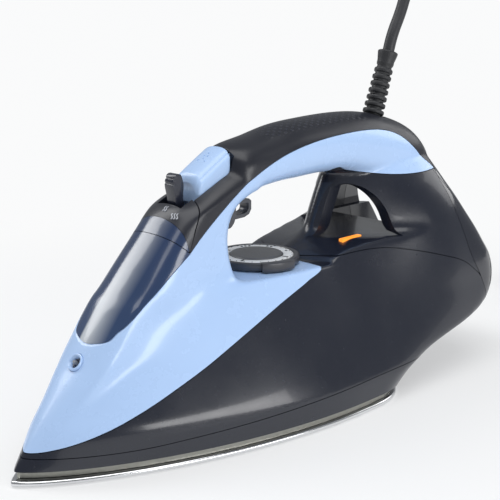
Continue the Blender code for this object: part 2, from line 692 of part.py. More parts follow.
def build_heater():
    line = [(x, y, 14.0) for x, y in element_line()]
    first, last = line[0], line[-1]
    start = [(first[0], first[1] + 7, 26.5), (first[0], first[1] + 6, 19), (first[0], first[1] + 3, 15.2)]
    end = [(last[0], last[1] + 3, 15.2), (last[0], last[1] + 6, 19), (last[0], last[1] + 7, 26.5)]
    tube("heating_element", start + line + end, 3.3, "steel")
    for label, point in (("right", start[0]), ("left", end[-1])):
        pin = cylinder(1.2, 26.8, 33.0, 10, x=point[0], y=point[1])
        tab = piece("element_terminal_" + label, pin, "brass")
        blade = box((point[0] - 3.2, point[1] - 0.4, 31), (point[0] + 3.2, point[1] + 0.4, 39))
        cut(tab, tool("terminal_tab", blade), "UNION")
    cover = [[(x, y, z) for x, y, _ in plate_ring(10.0, 56.0, 23.5, 42.5, 10)] for z in (14.3, 15.5)]
    lid = piece("chamber_cover", loft(cover), "steel", False)
    cut(lid, tool("drip_hole", cylinder(3.0, 13, 17, 12, y=NEEDLE_Y)))
    cut(lid, tool("boost_hole", cylinder(2.4, 13, 17, 12, x=PUMP_X, y=PUMP_Y)))
    shield = [[(x, y, z) for x, y, _ in plate_ring(24.0, 17.0, 6.0, 41.5)] for z in (23.0, 24.6)]
    plate = piece("heat_shield", loft(shield), "grey", False)
    cut(plate, tool("shield_spindle_hole", cylinder(5.0, 22, 26, 14, y=DIAL_Y)))
    cut(plate, tool("shield_valve_hole", cylinder(6.6, 22, 26, 14, y=NEEDLE_Y)))
    cut(plate, tool("shield_boost_hole", cylinder(3.0, 22, 26, 12, x=PUMP_X, y=PUMP_Y)))


def build_thermostat():
    body = turned([(12.0, 15.8), (12.0, 18.4), (8.0, 18.6), (8.0, 21.0), (3.4, 21.2), (3.4, 22.6)], 20)
    control = piece("thermostat", body, "white")
    cut(control, tool("thermostat_tabs", box((-18, -1.1, 16.2), (18, 1.1, 17.6))), "UNION")
    control.location.y = DIAL_Y * MM
    fuse = rod((-16, 22, 18.4), (-16, 36, 18.4), 2.2, 12)
    piece("thermal_fuse", fuse, "white")


# ---------------------------------------------------------------- water side

def build_tank():
    levels = (26, 36, 52, 70.5)
    outer = loft([plate_ring(z, 24.0, 5.5, 33.0, 12) for z in levels])
    tank = piece("water_tank", outer, "tank")
    cut(tank, tool("filler_neck", rod((0, -78, 66), (0, -81.2, 82), 6.2)), "UNION")
    inner_levels = (27.8, 37, 52, 68.8)
    water = tool("water_space", loft([plate_ring(z, 27.0, 7.4, 31.2, 10) for z in inner_levels]))
    sleeve = tool("spindle_sleeve", cylinder(6.6, 20, 75, 16, y=DIAL_Y))
    cut(water, sleeve)
    cut(water, tool("boost_sleeve", cylinder(4.2, 20, 75, 12, x=PUMP_X, y=PUMP_Y)))
    cut(water, tool("filler_bore", rod((0, -77.6, 64), (0, -81.8, 85), 4.6)), "UNION")
    cut(tank, water)
    cut(tank, tool("spindle_pass", cylinder(4.8, 20, 75, 16, y=DIAL_Y)))
    cut(tank, tool("boost_pass", cylinder(2.6, 20, 75, 12, x=PUMP_X, y=PUMP_Y)))
    cut(tank, tool("needle_pass", cylinder(2.2, 50, 75, 12, y=NEEDLE_Y)))
    cut(tank, tool("valve_pass", cylinder(4.3, 20, 30, 16, y=NEEDLE_Y)))
    along = Vector((0, -3.2, 16)).normalized()
    seal = turned_ring([(4.9, 0.3), (6.4, 0.3), (6.9, 1.2), (6.4, 2.1), (4.9, 2.1)], 20)
    piece("filler_seal", flipped(seal, along.to_track_quat("Z", "Y"), (0, -81.2, 82)), "rubber")
    seat = turned_ring([(1.9, 18.0), (4.0, 18.0), (4.0, 30.2), (1.9, 30.2)], 16)
    piece("dosing_valve_seat", moved(seat, (0, NEEDLE_Y, 0)), "brass")
    needle = turned([(0.7, 24.0), (1.5, 27.0), (1.5, 92.0), (4.2, 92.4), (4.2, 94.6), (3.4, 95.2)], 12)
    set_origin(piece("dosing_needle", moved(needle, (0, NEEDLE_Y, 0)), "brass"), (0.0, NEEDLE_Y, 24.0))


def build_spray():
    profile = [(1.3, 1.2), (1.5, 0.4), (3.2, 0.6), (4.2, 1.2), (4.2, -1.5), (3.4, -9.0), (1.3, -9.0)]
    normal = Vector(NOZZLE_NORMAL).to_track_quat("Z", "Y")
    piece("spray_nozzle", flipped(turned_ring(profile, 18), normal, NOZZLE_POINT), "gloss")
    jet = turned([(1.0, -8.6), (1.0, 0.2), (0.6, 1.6)], 12)
    piece("nozzle_insert", flipped(jet, normal, NOZZLE_POINT), "grey")
    path = [(-PUMP_X, PUMP_Y, 75.2), (-8.0, -42.6, 74.2), (-8.4, -45.5, 72.7), (-10.2, -58, 72.4),
            (-10.5, -78, 72.5), (-8.0, -90, 71.3), (-4.0, -99.5, 63.5), (-1.0, -106.5, 52.0),
            (0, -110.6, 43.4)]
    tube("spray_hose", smooth_path(path, 20), 1.2, "rubber")


def smooth_path(points, count):
    """Evenly read Catmull-Rom curve through hand-chosen points."""
    knots = [Vector(p) for p in points]
    knots = [knots[0] * 2 - knots[1]] + knots + [knots[-1] * 2 - knots[-2]]
    fine = []
    for i in range(1, len(knots) - 2):
        a, b, c, d = knots[i - 1:i + 3]
        for k in range(12):
            t = k / 12
            fine.append(0.5 * ((2 * b) + (c - a) * t + (2 * a - 5 * b + 4 * c - d) * t * t
                               + (3 * b - a - 3 * c + d) * t ** 3))
    fine.append(knots[-2])
    lengths = [0.0]
    for first, second in zip(fine, fine[1:]):
        lengths.append(lengths[-1] + (second - first).length)
    out = []
    for k in range(count):
        goal = lengths[-1] * k / (count - 1)
        i = 0
        while i < len(fine) - 2 and lengths[i + 1] < goal:
            i += 1
        t = (goal - lengths[i]) / (lengths[i + 1] - lengths[i])
        out.append(tuple(fine[i].lerp(fine[i + 1], t)))
    return out


def build_pumps():
    for label, x in (("spray", -PUMP_X), ("boost", PUMP_X)):
        body = turned([(1.6, 76.0), (4.6, 77.5), (4.6, 98.0), (3.5, 98.0), (3.5, 80.0), (0.6, 79.6)], 16)
        piece(label + "_pump_body", moved(body, (x, PUMP_Y, 0)), "white")
        stem = [(3.2, 84.0), (3.2, 88.0), (1.7, 88.6), (1.7, 107.6), (4.4, 108.0), (4.4, 110.0), (3.9, 110.3)]
        plunger = piece(label + "_plunger", moved(turned(stem, 16), (x, PUMP_Y, 0)), "grey")
        set_origin(plunger, (x, PUMP_Y, 84.0))
        turns, per_turn = 3.0, 8
        points = []
        for i in range(int(turns * per_turn) + 1):
            angle = 2 * math.pi * i / per_turn
            points.append((x + 3.2 * math.cos(angle), PUMP_Y + 3.2 * math.sin(angle),
                           SPRING_LOW + (SPRING_HIGH - SPRING_LOW) * i / (turns * per_turn)))
        tube(label + "_spring", points, 0.42, "steel")
    tube("boost_hose", [(PUMP_X, PUMP_Y, 75.6), (PUMP_X, PUMP_Y, 46.0), (PUMP_X, PUMP_Y, 16.2)], 1.6, "rubber")


# ---------------------------------------------------------------- controls

def button_section(y, low, high, half):
    """Cross-section of the spray button: straight sides below, rounded top."""
    points = [(0.0, y, high)]
    for angle in (22, 42, 60, 76):
        a = math.radians(angle)
        fall = (high - low) * 0.72 * (1 - math.cos(a)) ** 1.15
        points.append((half * math.sin(a) ** 0.9, y, high - fall))
    points += [(half, y, low + (high - low) * 0.22), (half, y, low), (0.0, y, low)]
    return mirrored_ring(points)


def build_button():
    w = BUTTON_HALF_WIDTH
    stations = [(-49.8, 116.4, 127.0, w - 1.2), (-48.8, 116.4, 129.4, w - 0.3), (-47.0, 116.7, 131.0, w),
                (-42.0, 118.3, 134.2, w), (-37.0, 120.2, 137.2, w), (-32.5, 121.8, 139.9, w),
                (-29.8, 123.0, 141.3, w - 0.4), (-28.6, 123.8, 141.0, w - 1.4)]
    button = piece("spray_button", loft([button_section(*station) for station in stations]), "blue")
    button.modifiers.new("triangles", "TRIANGULATE")
    post = cylinder(1.7, 110.7, 121.0, 12, x=-PUMP_X, y=PUMP_Y)
    cut(button, tool("button_post", post), "UNION")
    tongue = box((-6.5, -30.4, 133.6), (6.5, -19.6, 138.7))
    cut(button, tool("button_tongue", tongue), "UNION")
    set_origin(button, HINGE_BUTTON)


def build_trigger():
    outline = [(-33.5, 110.4), (-29.8, 109.8), (-27.4, 107.6), (-26.6, 104.0), (-27.6, 100.4), (-24.6, 99.4),
               (-21.4, 102.2), (-20.4, 107.0), (-20.6, 112.6), (-23.6, 116.4), (-29.0, 117.0), (-33.5, 114.6)]
    trigger = piece("steam_trigger", prism(outline, 4.6), "charcoal")
    arm = box((-0.5, -45.5, 110.8), (10.8, -33.2, 113.2))
    cut(trigger, tool("trigger_arm", arm), "UNION")
    set_origin(trigger, HINGE_TRIGGER)


def build_lever():
    outline = [(-57.8, 104.0), (-53.0, 104.0), (-54.9, 119.0), (-54.6, 126.5), (-56.4, 131.2), (-59.4, 131.2),
               (-61.2, 126.8), (-59.8, 119.0)]
    lever = piece("steam_lever", prism(outline, 3.0), "charcoal")
    axis = Vector(LEVER_AXIS)
    centre = Vector(HINGE_LEVER)
    cut(lever, tool("lever_hub", rod(centre - axis * 5.0, centre + axis * 4.0, 4.4, 16)), "UNION")
    set_origin(lever, HINGE_LEVER)


def set_origin(obj, point):
    """Move the object's origin to a point in millimetres and keep its shape in place."""
    shift = Vector(point) * MM
    obj.data.transform(Matrix.Translation(-shift))
    obj.location = shift


def build_dial():
    rim = [(22.6, 77.2), (23.3, 77.9), (23.3, 80.6), (22.7, 81.3), (20.4, 81.3), (20.2, 80.3), (2.0, 80.3)]
    dial = piece("temperature_dial", moved(turned(rim, 28), (0, DIAL_Y, 0)), "charcoal")
    tab = box((20.8, -8.5, 77.3), (26.6, 8.5, 81.7))
    turn = Matrix.Rotation(math.radians(-16), 4, "Z")
    cut(dial, tool("dial_tab", moved(tab, (0, DIAL_Y, 0), turn)), "UNION")
    set_origin(dial, (0.0, DIAL_Y, 0.0))
    scale = turned_ring([(14.6, 80.6), (19.9, 80.6), (19.9, 81.2), (14.6, 81.2)], 24)
    set_origin(piece("dial_scale_ring", moved(scale, (0, DIAL_Y, 0)), "white"), (0.0, DIAL_Y, 0.0))
    cap = turned([(14.3, 80.6), (14.3, 81.3), (13.6, 81.9), (4.0, 82.2)], 20)
    set_origin(piece("dial_cap", moved(cap, (0, DIAL_Y, 0)), "grey"), (0.0, DIAL_Y, 0.0))
    spindle = turned([(2.4, 23.2), (2.4, 74.0), (4.2, 74.4), (4.2, 76.9)], 14)
    set_origin(piece("dial_spindle", moved(spindle, (0, DIAL_Y, 0)), "white"), (0.0, DIAL_Y, 0.0))


# ---------------------------------------------------------------- electrical side

def build_electrics():
    piece("indicator_lens", lamp_box(0.0, 0.0), "amber")
    piece("indicator_led", box((19.6, 48.5, 80.1), (21.6, 56.5, 82.4)), "white", False)
    board = piece("circuit_board", box((-24, 62, 64.0), (24, 98, 65.6)), "board", False)
    chips = (box((-20, 66, 65), (-9, 78, 74)), box((-4, 68, 65), (4, 76, 70)), box((8, 80, 65), (20, 92, 73)))
    for number, chip in enumerate(chips):
        cut(board, tool("component_%d" % number, chip), "UNION")
    block = piece("terminal_block", box((-9, 80, 123.5), (9, 92, 133.5)), "white", False)
    for number, x in enumerate((-5.4, 0.0, 5.4)):
        cut(block, tool("clamp_screw_hole_%d" % number, cylinder(1.5, 128, 136, 10, x=x, y=86)))
    sleeve = [(0, 79.4, 127.0), (0, 68, 126.4), (0, 58.8, 122.5), (0, 47.2, 98.9), (0, 35.0, 74.0), (0, 36.6, 70.2),
              (0, 50, 67.6), (0, 61.4, 67.2)]
    tube("wiring_sleeve", sleeve, 1.55, "rubber")
    strap = piece("cord_clamp", box((-8, 94.5, 122), (8, 100.5, 129.6)), "grey", False)
    cut(strap, tool("clamp_bore", rod((0, 93, 125.6), (0, 102, 126.2), 2.4, 14)))
    terminal_x, _ = element_line()[0]
    for label, x in (("live", terminal_x), ("neutral", -terminal_x)):
        side = 1 if x > 0 else -1
        wire = [(side * 18, 65, 62.7), (side * 26, 60, 56), (side * 35, 53, 48), (x, 51.0, 39.8)]
        tube("heater_wire_" + label, smooth_path(wire, 9), 1.0, "red" if side > 0 else "rubber")


def build_screws():
    for label, sign in (("right", 1), ("left", -1)):
        head = rod((sign * SCREW_X, 156.4, SCREW_Z), (sign * SCREW_X, 153.2, SCREW_Z), 1.55, 12)
        piece("rear_screw_" + label, head, "steel")


# ---------------------------------------------------------------- cord and plug

def build_guard():
    profile = [(7.1, -4.5), (7.1, 0.0), (6.2, 1.0)]
    ribs = 7
    for i in range(ribs):
        z = 2.6 + i * 4.1
        r = 5.9 - 0.10 * i
        profile += [(4.3, z - 0.9), (r, z - 0.2), (r, z + 1.8), (4.3, z + 2.5)]
    profile += [(4.2, 31.2), (4.9, 32.2), (4.9, 34.6), (5.9, 39.0), (5.7, GUARD_LENGTH)]
    turn = Vector(GUARD_AXIS).to_track_quat("Z", "Y")
    guard = piece("cord_guard", flipped(turned(profile, 10), turn, GUARD_BASE), "rubber")
    set_origin(guard, GUARD_BASE)


def cord_route():
    base, axis = Vector(GUARD_BASE), Vector(GUARD_AXIS)
    exit_point = base + axis * (GUARD_LENGTH + 0.3)
    lead = [tuple(exit_point), tuple(exit_point + axis * 10.0)]
    return lead + CORD_ROUTE


def build_cord():
    tube("power_cord", smooth_path(cord_route(), 42), CORD_DIAMETER / 2, "rubber", 2)
    tube("cord_tail", smooth_path(CORD_TAIL, 9), CORD_DIAMETER / 2, "rubber", 2)
    cx, cy = COIL_CENTRE
    low, high = COIL_RADII
    outline = [(low, 2.0), (low + 2.0, 0.0), (high - 2.0, 0.0), (high, 2.0), (high, COIL_HEIGHT - 2.0),
               (high - 2.0, COIL_HEIGHT), (low + 2.0, COIL_HEIGHT), (low, COIL_HEIGHT - 2.0)]
    piece("cord_coil", moved(turned_ring(outline, 26), (cx, cy, 0)), "rubber")
    band = box((low - 1.6, -4.0, 0.0), (high + 1.6, 4.0, COIL_HEIGHT + 1.8))
    turn = Matrix.Rotation(math.radians(TIE_ANGLE), 4, "Z")
    tie = piece("cord_tie", moved(band, (cx, cy, 0), turn), "grey")
    top = COIL_HEIGHT + 0.4
    hollow = [(low - 0.4, -1.0), (high + 0.4, -1.0), (high + 0.4, top - 2.0), (high - 1.6, top),
              (low + 1.6, top), (low - 0.4, top - 2.0)]
    cut(tie, tool("tie_hollow", moved(turned_ring(hollow, 26), (cx, cy, 0))))


def build_plug():
    """Two-pin mains plug lying on its side beside the coil, pins pointing away."""
    profile = [(0, 4.3, 4.3), (8, 5.2, 5.2), (18, 8.0, 7.0), (24, 12.0, 9.0), (38, 17.0, 12.5),
               (56, 18.4, 13.0), (59, 17.6, 12.4)]
    rings = []
    for x, half_y, half_z in profile:
        ring = []
        for i in range(20):
            a = 2 * math.pi * i / 20
            c, s = math.cos(a), math.sin(a)
            y = half_y * math.copysign(abs(c) ** 0.75, c)
            ring.append((x, y, PLUG_Z + half_z * math.copysign(abs(s) ** 0.75, s)))
        rings.append(ring)
    turn = Matrix.Rotation(math.radians(PLUG_ANGLE), 4, "Z")
    offset = (PLUG_POINT[0], PLUG_POINT[1], 0)
    piece("plug_body", moved(loft(rings), offset, turn), "rubber")
    for label, y in (("a", 9.5), ("b", -9.5)):
        pin = rod((59.3, y, PLUG_Z), (78.0, y, PLUG_Z), 2.4, 12)
        piece("plug_pin_" + label, moved(pin, offset, turn), "brass")


def main():
    envelope = build_envelope()
    build_front_shell(envelope)
    build_fill_door(envelope)
    build_steam_collar(envelope)
    build_handle_cover(envelope)
    build_heel_arch(envelope)
    build_side_panels(envelope)
    build_rear_cover(envelope)
    build_skirt(envelope)
    build_soleplate()
    build_casting()
    build_heater()
    build_thermostat()
    build_tank()
    build_spray()
    build_pumps()
    build_button()
    build_trigger()
    build_lever()
    build_dial()
    build_electrics()
    build_screws()
    build_guard()
    build_cord()
    build_plug()


clear_scene()
parts = collection("steam_iron")
cutters = collection("cutters")
main()
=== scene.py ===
"""Steam iron in light blue and navy plastic with a polished steam plate and a mains lead."""
import math

import bmesh
import bpy
from mathutils import Matrix, Vector


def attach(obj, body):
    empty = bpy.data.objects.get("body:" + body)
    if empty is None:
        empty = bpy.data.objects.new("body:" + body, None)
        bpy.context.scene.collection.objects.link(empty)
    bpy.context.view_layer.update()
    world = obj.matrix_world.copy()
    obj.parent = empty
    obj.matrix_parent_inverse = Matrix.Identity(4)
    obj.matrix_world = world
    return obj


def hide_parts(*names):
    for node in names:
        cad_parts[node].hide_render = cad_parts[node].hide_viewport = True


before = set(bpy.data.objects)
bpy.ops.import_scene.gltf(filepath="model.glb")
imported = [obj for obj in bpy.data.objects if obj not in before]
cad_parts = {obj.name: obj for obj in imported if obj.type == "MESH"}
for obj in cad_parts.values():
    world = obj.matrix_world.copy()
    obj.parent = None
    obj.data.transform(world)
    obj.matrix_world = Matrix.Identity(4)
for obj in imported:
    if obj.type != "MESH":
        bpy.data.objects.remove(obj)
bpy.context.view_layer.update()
MM = 0.001
DIAL_Y = -1.0

# ---------------------------------------------------------------- camera, light and floor

CAMERA_AZIMUTH = math.radians(44.883)
CAMERA_ELEVATION = math.radians(14.018)
CAMERA_PLACE = Vector((0.38338, -0.38575, 0.21827))
CAMERA_LENS = 75.19
CAMERA_SHIFT = (-0.0130, 0.0014)
BACKDROP = (0.955, 0.96, 0.965)
WORLD_COLOUR = (0.93, 0.96, 1.0)
WORLD_STRENGTH = 0.30
FLOOR_COLOUR = (0.94, 0.945, 0.95)
FLOOR_HALF_SIZE = 6.0
FLOOR_DROP = 0.0003
FADE_START, FADE_END = 0.16, 0.50
FADE_LEAST = 0.45


def add_camera():
    data = bpy.data.cameras.new("camera")
    data.lens = CAMERA_LENS
    data.sensor_width = 36.0
    data.shift_x, data.shift_y = CAMERA_SHIFT
    data.clip_start = 0.01
    camera = bpy.data.objects.new("camera", data)
    bpy.context.scene.collection.objects.link(camera)
    flat = math.cos(CAMERA_ELEVATION)
    forward = Vector((-math.sin(CAMERA_AZIMUTH) * flat, math.cos(CAMERA_AZIMUTH) * flat,
                      -math.sin(CAMERA_ELEVATION)))
    right = Vector((math.cos(CAMERA_AZIMUTH), math.sin(CAMERA_AZIMUTH), 0.0))
    up = right.cross(forward)
    rows = [(right[i], up[i], -forward[i], CAMERA_PLACE[i]) for i in range(3)]
    camera.matrix_world = Matrix(rows + [(0.0, 0.0, 0.0, 1.0)])
    bpy.context.scene.camera = camera


def add_softbox(name, place, target, size, power):
    data = bpy.data.lights.new(name, "AREA")
    data.shape = "RECTANGLE"
    data.size, data.size_y = size
    data.energy = power
    light = bpy.data.objects.new(name, data)
    bpy.context.scene.collection.objects.link(light)
    light.location = place
    light.rotation_euler = (Vector(target) - Vector(place)).to_track_quat("-Z", "Y").to_euler()


def add_world():
    world = bpy.data.worlds.new("studio")
    world.use_nodes = True
    nodes, links = world.node_tree.nodes, world.node_tree.links
    nodes.clear()
    output = nodes.new("ShaderNodeOutputWorld")
    shown = nodes.new("ShaderNodeBackground")
    shown.inputs["Color"].default_value = (*BACKDROP, 1.0)
    shown.inputs["Strength"].default_value = 1.0
    lighting = nodes.new("ShaderNodeBackground")
    lighting.inputs["Color"].default_value = (*WORLD_COLOUR, 1.0)
    lighting.inputs["Strength"].default_value = WORLD_STRENGTH
    path = nodes.new("ShaderNodeLightPath")
    mix = nodes.new("ShaderNodeMixShader")
    links.new(path.outputs["Is Camera Ray"], mix.inputs["Fac"])
    links.new(lighting.outputs["Background"], mix.inputs[1])
    links.new(shown.outputs["Background"], mix.inputs[2])
    links.new(mix.outputs["Shader"], output.inputs["Surface"])
    bpy.context.scene.world = world
    bpy.context.scene.view_settings.view_transform = "Standard"


def add_floor():
    """Pale floor that fades into the backdrop away from the iron."""
    mesh = bpy.data.meshes.new("floor")
    half = FLOOR_HALF_SIZE
    corners = [(-half, -half, 0), (half, -half, 0), (half, half, 0), (-half, half, 0)]
    mesh.from_pydata(corners, [], [(0, 1, 2, 3)])
    floor = bpy.data.objects.new("floor", mesh)
    floor.location.z = -FLOOR_DROP
    bpy.context.scene.collection.objects.link(floor)
    paint = bpy.data.materials.new("studio_floor")
    paint.use_nodes = True
    nodes, links = paint.node_tree.nodes, paint.node_tree.links
    shader = nodes["Principled BSDF"]
    shader.inputs["Base Color"].default_value = (*FLOOR_COLOUR, 1.0)
    shader.inputs["Roughness"].default_value = 0.55
    distance = nodes.new("ShaderNodeVectorMath")
    distance.operation = "LENGTH"
    links.new(nodes.new("ShaderNodeTexCoord").outputs["Object"], distance.inputs[0])
    fade = nodes.new("ShaderNodeMapRange")
    fade.interpolation_type = "SMOOTHSTEP"
    fade.inputs["From Min"].default_value = FADE_START
    fade.inputs["From Max"].default_value = FADE_END
    fade.inputs["To Min"].default_value = FADE_LEAST
    links.new(distance.outputs["Value"], fade.inputs["Value"])
    far = nodes.new("ShaderNodeEmission")
    far.inputs["Color"].default_value = (*BACKDROP, 1.0)
    mix = nodes.new("ShaderNodeMixShader")
    links.new(fade.outputs["Result"], mix.inputs["Fac"])
    links.new(shader.outputs["BSDF"], mix.inputs[1])
    links.new(far.outputs["Emission"], mix.inputs[2])
    links.new(mix.outputs["Shader"], nodes["Material Output"].inputs["Surface"])
    mesh.materials.append(paint)


add_camera()
add_world()
add_floor()
add_softbox("window_softbox", (-0.85, -0.40, 0.95), (0, -0.02, 0.10), (0.50, 1.0), 6.4)
add_softbox("top_softbox", (0.25, -0.15, 1.25), (0, 0.0, 0.05), (1.1, 1.1), 9.0)
add_softbox("side_softbox", (1.30, 0.10, 0.30), (0, 0.0, 0.05), (1.0, 0.30), 6.0)
add_softbox("back_softbox", (0.30, 1.25, 0.70), (0, 0.05, 0.08), (0.9, 0.6), 3.4)


# ---------------------------------------------------------------- mesh helpers

def bm_mesh(name, bm):
    """Mesh in metres from a bmesh in millimetres."""
    bmesh.ops.remove_doubles(bm, verts=bm.verts, dist=1e-4)
    bmesh.ops.recalc_face_normals(bm, faces=bm.faces)
    for vertex in bm.verts:
        vertex.co *= MM
    mesh = bpy.data.meshes.new(name)
    bm.to_mesh(mesh)
    bm.free()
    return mesh


def loft(rings):
    bm = bmesh.new()
    rows = [[bm.verts.new(point) for point in ring] for ring in rings]
    count = len(rings[0])
    for lower, upper in zip(rows, rows[1:]):
        for i in range(count):
            j = (i + 1) % count
            bm.faces.new((lower[i], lower[j], upper[j], upper[i]))
    bm.faces.new(rows[0])
    bm.faces.new(list(reversed(rows[-1])))
    return bm


def prism(outline, half_width, centre_x=0.0):
    near = [(centre_x + half_width, y, z) for y, z in outline]
    far = [(centre_x - half_width, y, z) for y, z in outline]
    return loft([far, near])


def block(low, high):
    bm = bmesh.new()
    size = Vector(high) - Vector(low)
    middle = (Vector(high) + Vector(low)) / 2
    bmesh.ops.create_cube(bm, size=1.0, matrix=Matrix.Translation(middle) @ Matrix.Diagonal((*size, 1.0)))
    return bm


def lathe(profile, sides=64, closed=False):
    """Turned shape about Z from (radius, z) points; closed joins the last point to the first."""
    bm = bmesh.new()
    rings = []
    for i in range(sides):
        angle = 2 * math.pi * i / sides
        rings.append([bm.verts.new((r * math.cos(angle), r * math.sin(angle), z)) for r, z in profile])
    last = len(profile) if closed else len(profile) - 1
    for i in range(sides):
        following = rings[(i + 1) % sides]
        for k in range(last):
            m = (k + 1) % len(profile)
            bm.faces.new((rings[i][k], following[k], following[m], rings[i][m]))
    if not closed:
        bm.faces.new([ring[0] for ring in reversed(rings)])
        bm.faces.new([ring[-1] for ring in rings])
    return bm


def rod(start, end, radius, sides=32):
    a, b = Vector(start), Vector(end)
    bm = lathe([(radius, 0.0), (radius, (b - a).length)], sides)
    place = Matrix.Translation(a) @ (b - a).to_track_quat("Z", "Y").to_matrix().to_4x4()
    bmesh.ops.transform(bm, matrix=place, verts=bm.verts)
    return bm


def placed(bm, offset=(0, 0, 0), turn=None):
    """The bmesh turned by a quaternion or matrix, then moved."""
    place = Matrix.Translation(offset)
    if turn is not None:
        place = place @ (turn.to_matrix().to_4x4() if hasattr(turn, "to_matrix") else turn)
    bmesh.ops.transform(bm, matrix=place, verts=bm.verts)
    return bm


def turn_about_z(degrees):
    return Matrix.Rotation(math.radians(degrees), 4, "Z")


def join(target, other):
    """Add one bmesh to another and free it."""
    part = bpy.data.meshes.new("part")
    other.to_mesh(part)
    other.free()
    target.from_mesh(part)
    bpy.data.meshes.remove(part)


def scratch_object(mesh):
    obj = bpy.data.objects.new("scratch", mesh)
    bpy.context.scene.collection.objects.link(obj)
    return obj


def evaluated_mesh(obj, name):
    graph = bpy.context.evaluated_depsgraph_get()
    graph.update()
    mesh = bpy.data.meshes.new_from_object(obj.evaluated_get(graph))
    mesh.name = name
    return mesh


def drop(obj):
    mesh = obj.data
    bpy.data.objects.remove(obj)
    if mesh.users == 0:
        bpy.data.meshes.remove(mesh)


def combine(base, other, operation):
    """Boolean of two closed meshes as a new mesh."""
    first, second = scratch_object(base.copy()), scratch_object(other)
    modifier = first.modifiers.new("cut", "BOOLEAN")
    modifier.operation = operation
    modifier.solver = "MANIFOLD"
    modifier.object = second
    made = evaluated_mesh(first, base.name)
    drop(first)
    drop(second)
    return made


def bevelled(mesh, width, segments=3, angle=32.0):
    """Mesh with its edges rounded by width in millimetres."""
    obj = scratch_object(mesh)
    modifier = obj.modifiers.new("bevel", "BEVEL")
    modifier.width = width * MM
    modifier.segments = segments
    modifier.limit_method = "ANGLE"
    modifier.angle_limit = math.radians(angle)
    modifier.use_clamp_overlap = True
    made = evaluated_mesh(obj, mesh.name)
    drop(obj)
    return made


def add_piece(name, mesh, finish, body, nodes=(), sharp=38.0):
    """Shown object from a mesh in metres; body and nodes are CAD names."""
    for polygon in mesh.polygons:
        polygon.use_smooth = True
    mesh.set_sharp_from_angle(angle=math.radians(sharp))
    mesh.materials.clear()
    mesh.materials.append(finish.material)
    for polygon in mesh.polygons:
        polygon.material_index = 0
    obj = bpy.data.objects.new(name, mesh)
    bpy.context.scene.collection.objects.link(obj)
    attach(obj, body)
    if nodes:
        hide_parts(*nodes)
    return obj


# ---------------------------------------------------------------- materials

class Finish:
    """Small helper round one node material in object space."""

    def __init__(self, name, colour, roughness, metallic=0.0):
        self.material = bpy.data.materials.new(name)
        self.material.use_nodes = True
        self.nodes = self.material.node_tree.nodes
        self.links = self.material.node_tree.links
        self.shader = self.nodes["Principled BSDF"]
        self.colour = colour
        self.put("Base Color", (*colour, 1.0))
        self.put("Roughness", roughness)
        self.put("Metallic", metallic)
        self.where = self.nodes.new("ShaderNodeTexCoord").outputs["Object"]
        self.height = None
        self.paint = None

    def put(self, socket, value):
        self.shader.inputs[socket].default_value = value

    def noise(self, scale, detail=2.0, vector=None, roughness=0.5):
        node = self.nodes.new("ShaderNodeTexNoise")
        node.inputs["Scale"].default_value = scale
        node.inputs["Detail"].default_value = detail
        node.inputs["Roughness"].default_value = roughness
        self.links.new(vector or self.where, node.inputs["Vector"])
        return node.outputs["Fac"]

    def ramp(self, value, low, high, out_low, out_high):
        node = self.nodes.new("ShaderNodeMapRange")
        node.inputs["From Min"].default_value = low
        node.inputs["From Max"].default_value = high
        node.inputs["To Min"].default_value = out_low
        node.inputs["To Max"].default_value = out_high
        node.clamp = True
        self.links.new(value, node.inputs["Value"])
        return node.outputs["Result"]

    def math(self, operation, first, second=None):
        node = self.nodes.new("ShaderNodeMath")
        node.operation = operation
        for slot, item in enumerate((first, second)):
            if item is None:
                continue
            if isinstance(item, (int, float)):
                node.inputs[slot].default_value = item
            else:
                self.links.new(item, node.inputs[slot])
        return node.outputs["Value"]

    def axes(self):
        node = self.nodes.new("ShaderNodeSeparateXYZ")
        self.links.new(self.where, node.inputs["Vector"])
        return node.outputs["X"], node.outputs["Y"], node.outputs["Z"]

    def blend_colour(self, fac, first, second):
        node = self.nodes.new("ShaderNodeMix")
        node.data_type = "RGBA"
        self.links.new(fac, node.inputs[0])
        for index, item in ((6, first), (7, second)):
            if isinstance(item, tuple):
                node.inputs[index].default_value = (*item, 1.0)
            else:
                self.links.new(item, node.inputs[index])
        return node.outputs[2]

    def tint(self, fac, other):
        """Paint another colour over the present one where fac is 1."""
        self.paint = self.blend_colour(fac, self.paint or self.colour, other)
        self.links.new(self.paint, self.shader.inputs["Base Color"])

    def rough(self, value):
        self.links.new(value, self.shader.inputs["Roughness"])

    def bump(self, value, depth, strength=1.0):
        """Depth in millimetres."""
        node = self.nodes.new("ShaderNodeBump")
        node.inputs["Strength"].default_value = strength
        node.inputs["Distance"].default_value = depth * MM
        self.links.new(value, node.inputs["Height"])
        if self.height:
            self.links.new(self.height, node.inputs["Normal"])
        self.height = node.outputs["Normal"]
        self.links.new(self.height, self.shader.inputs["Normal"])


GRAIN_SCALE = 2600.0


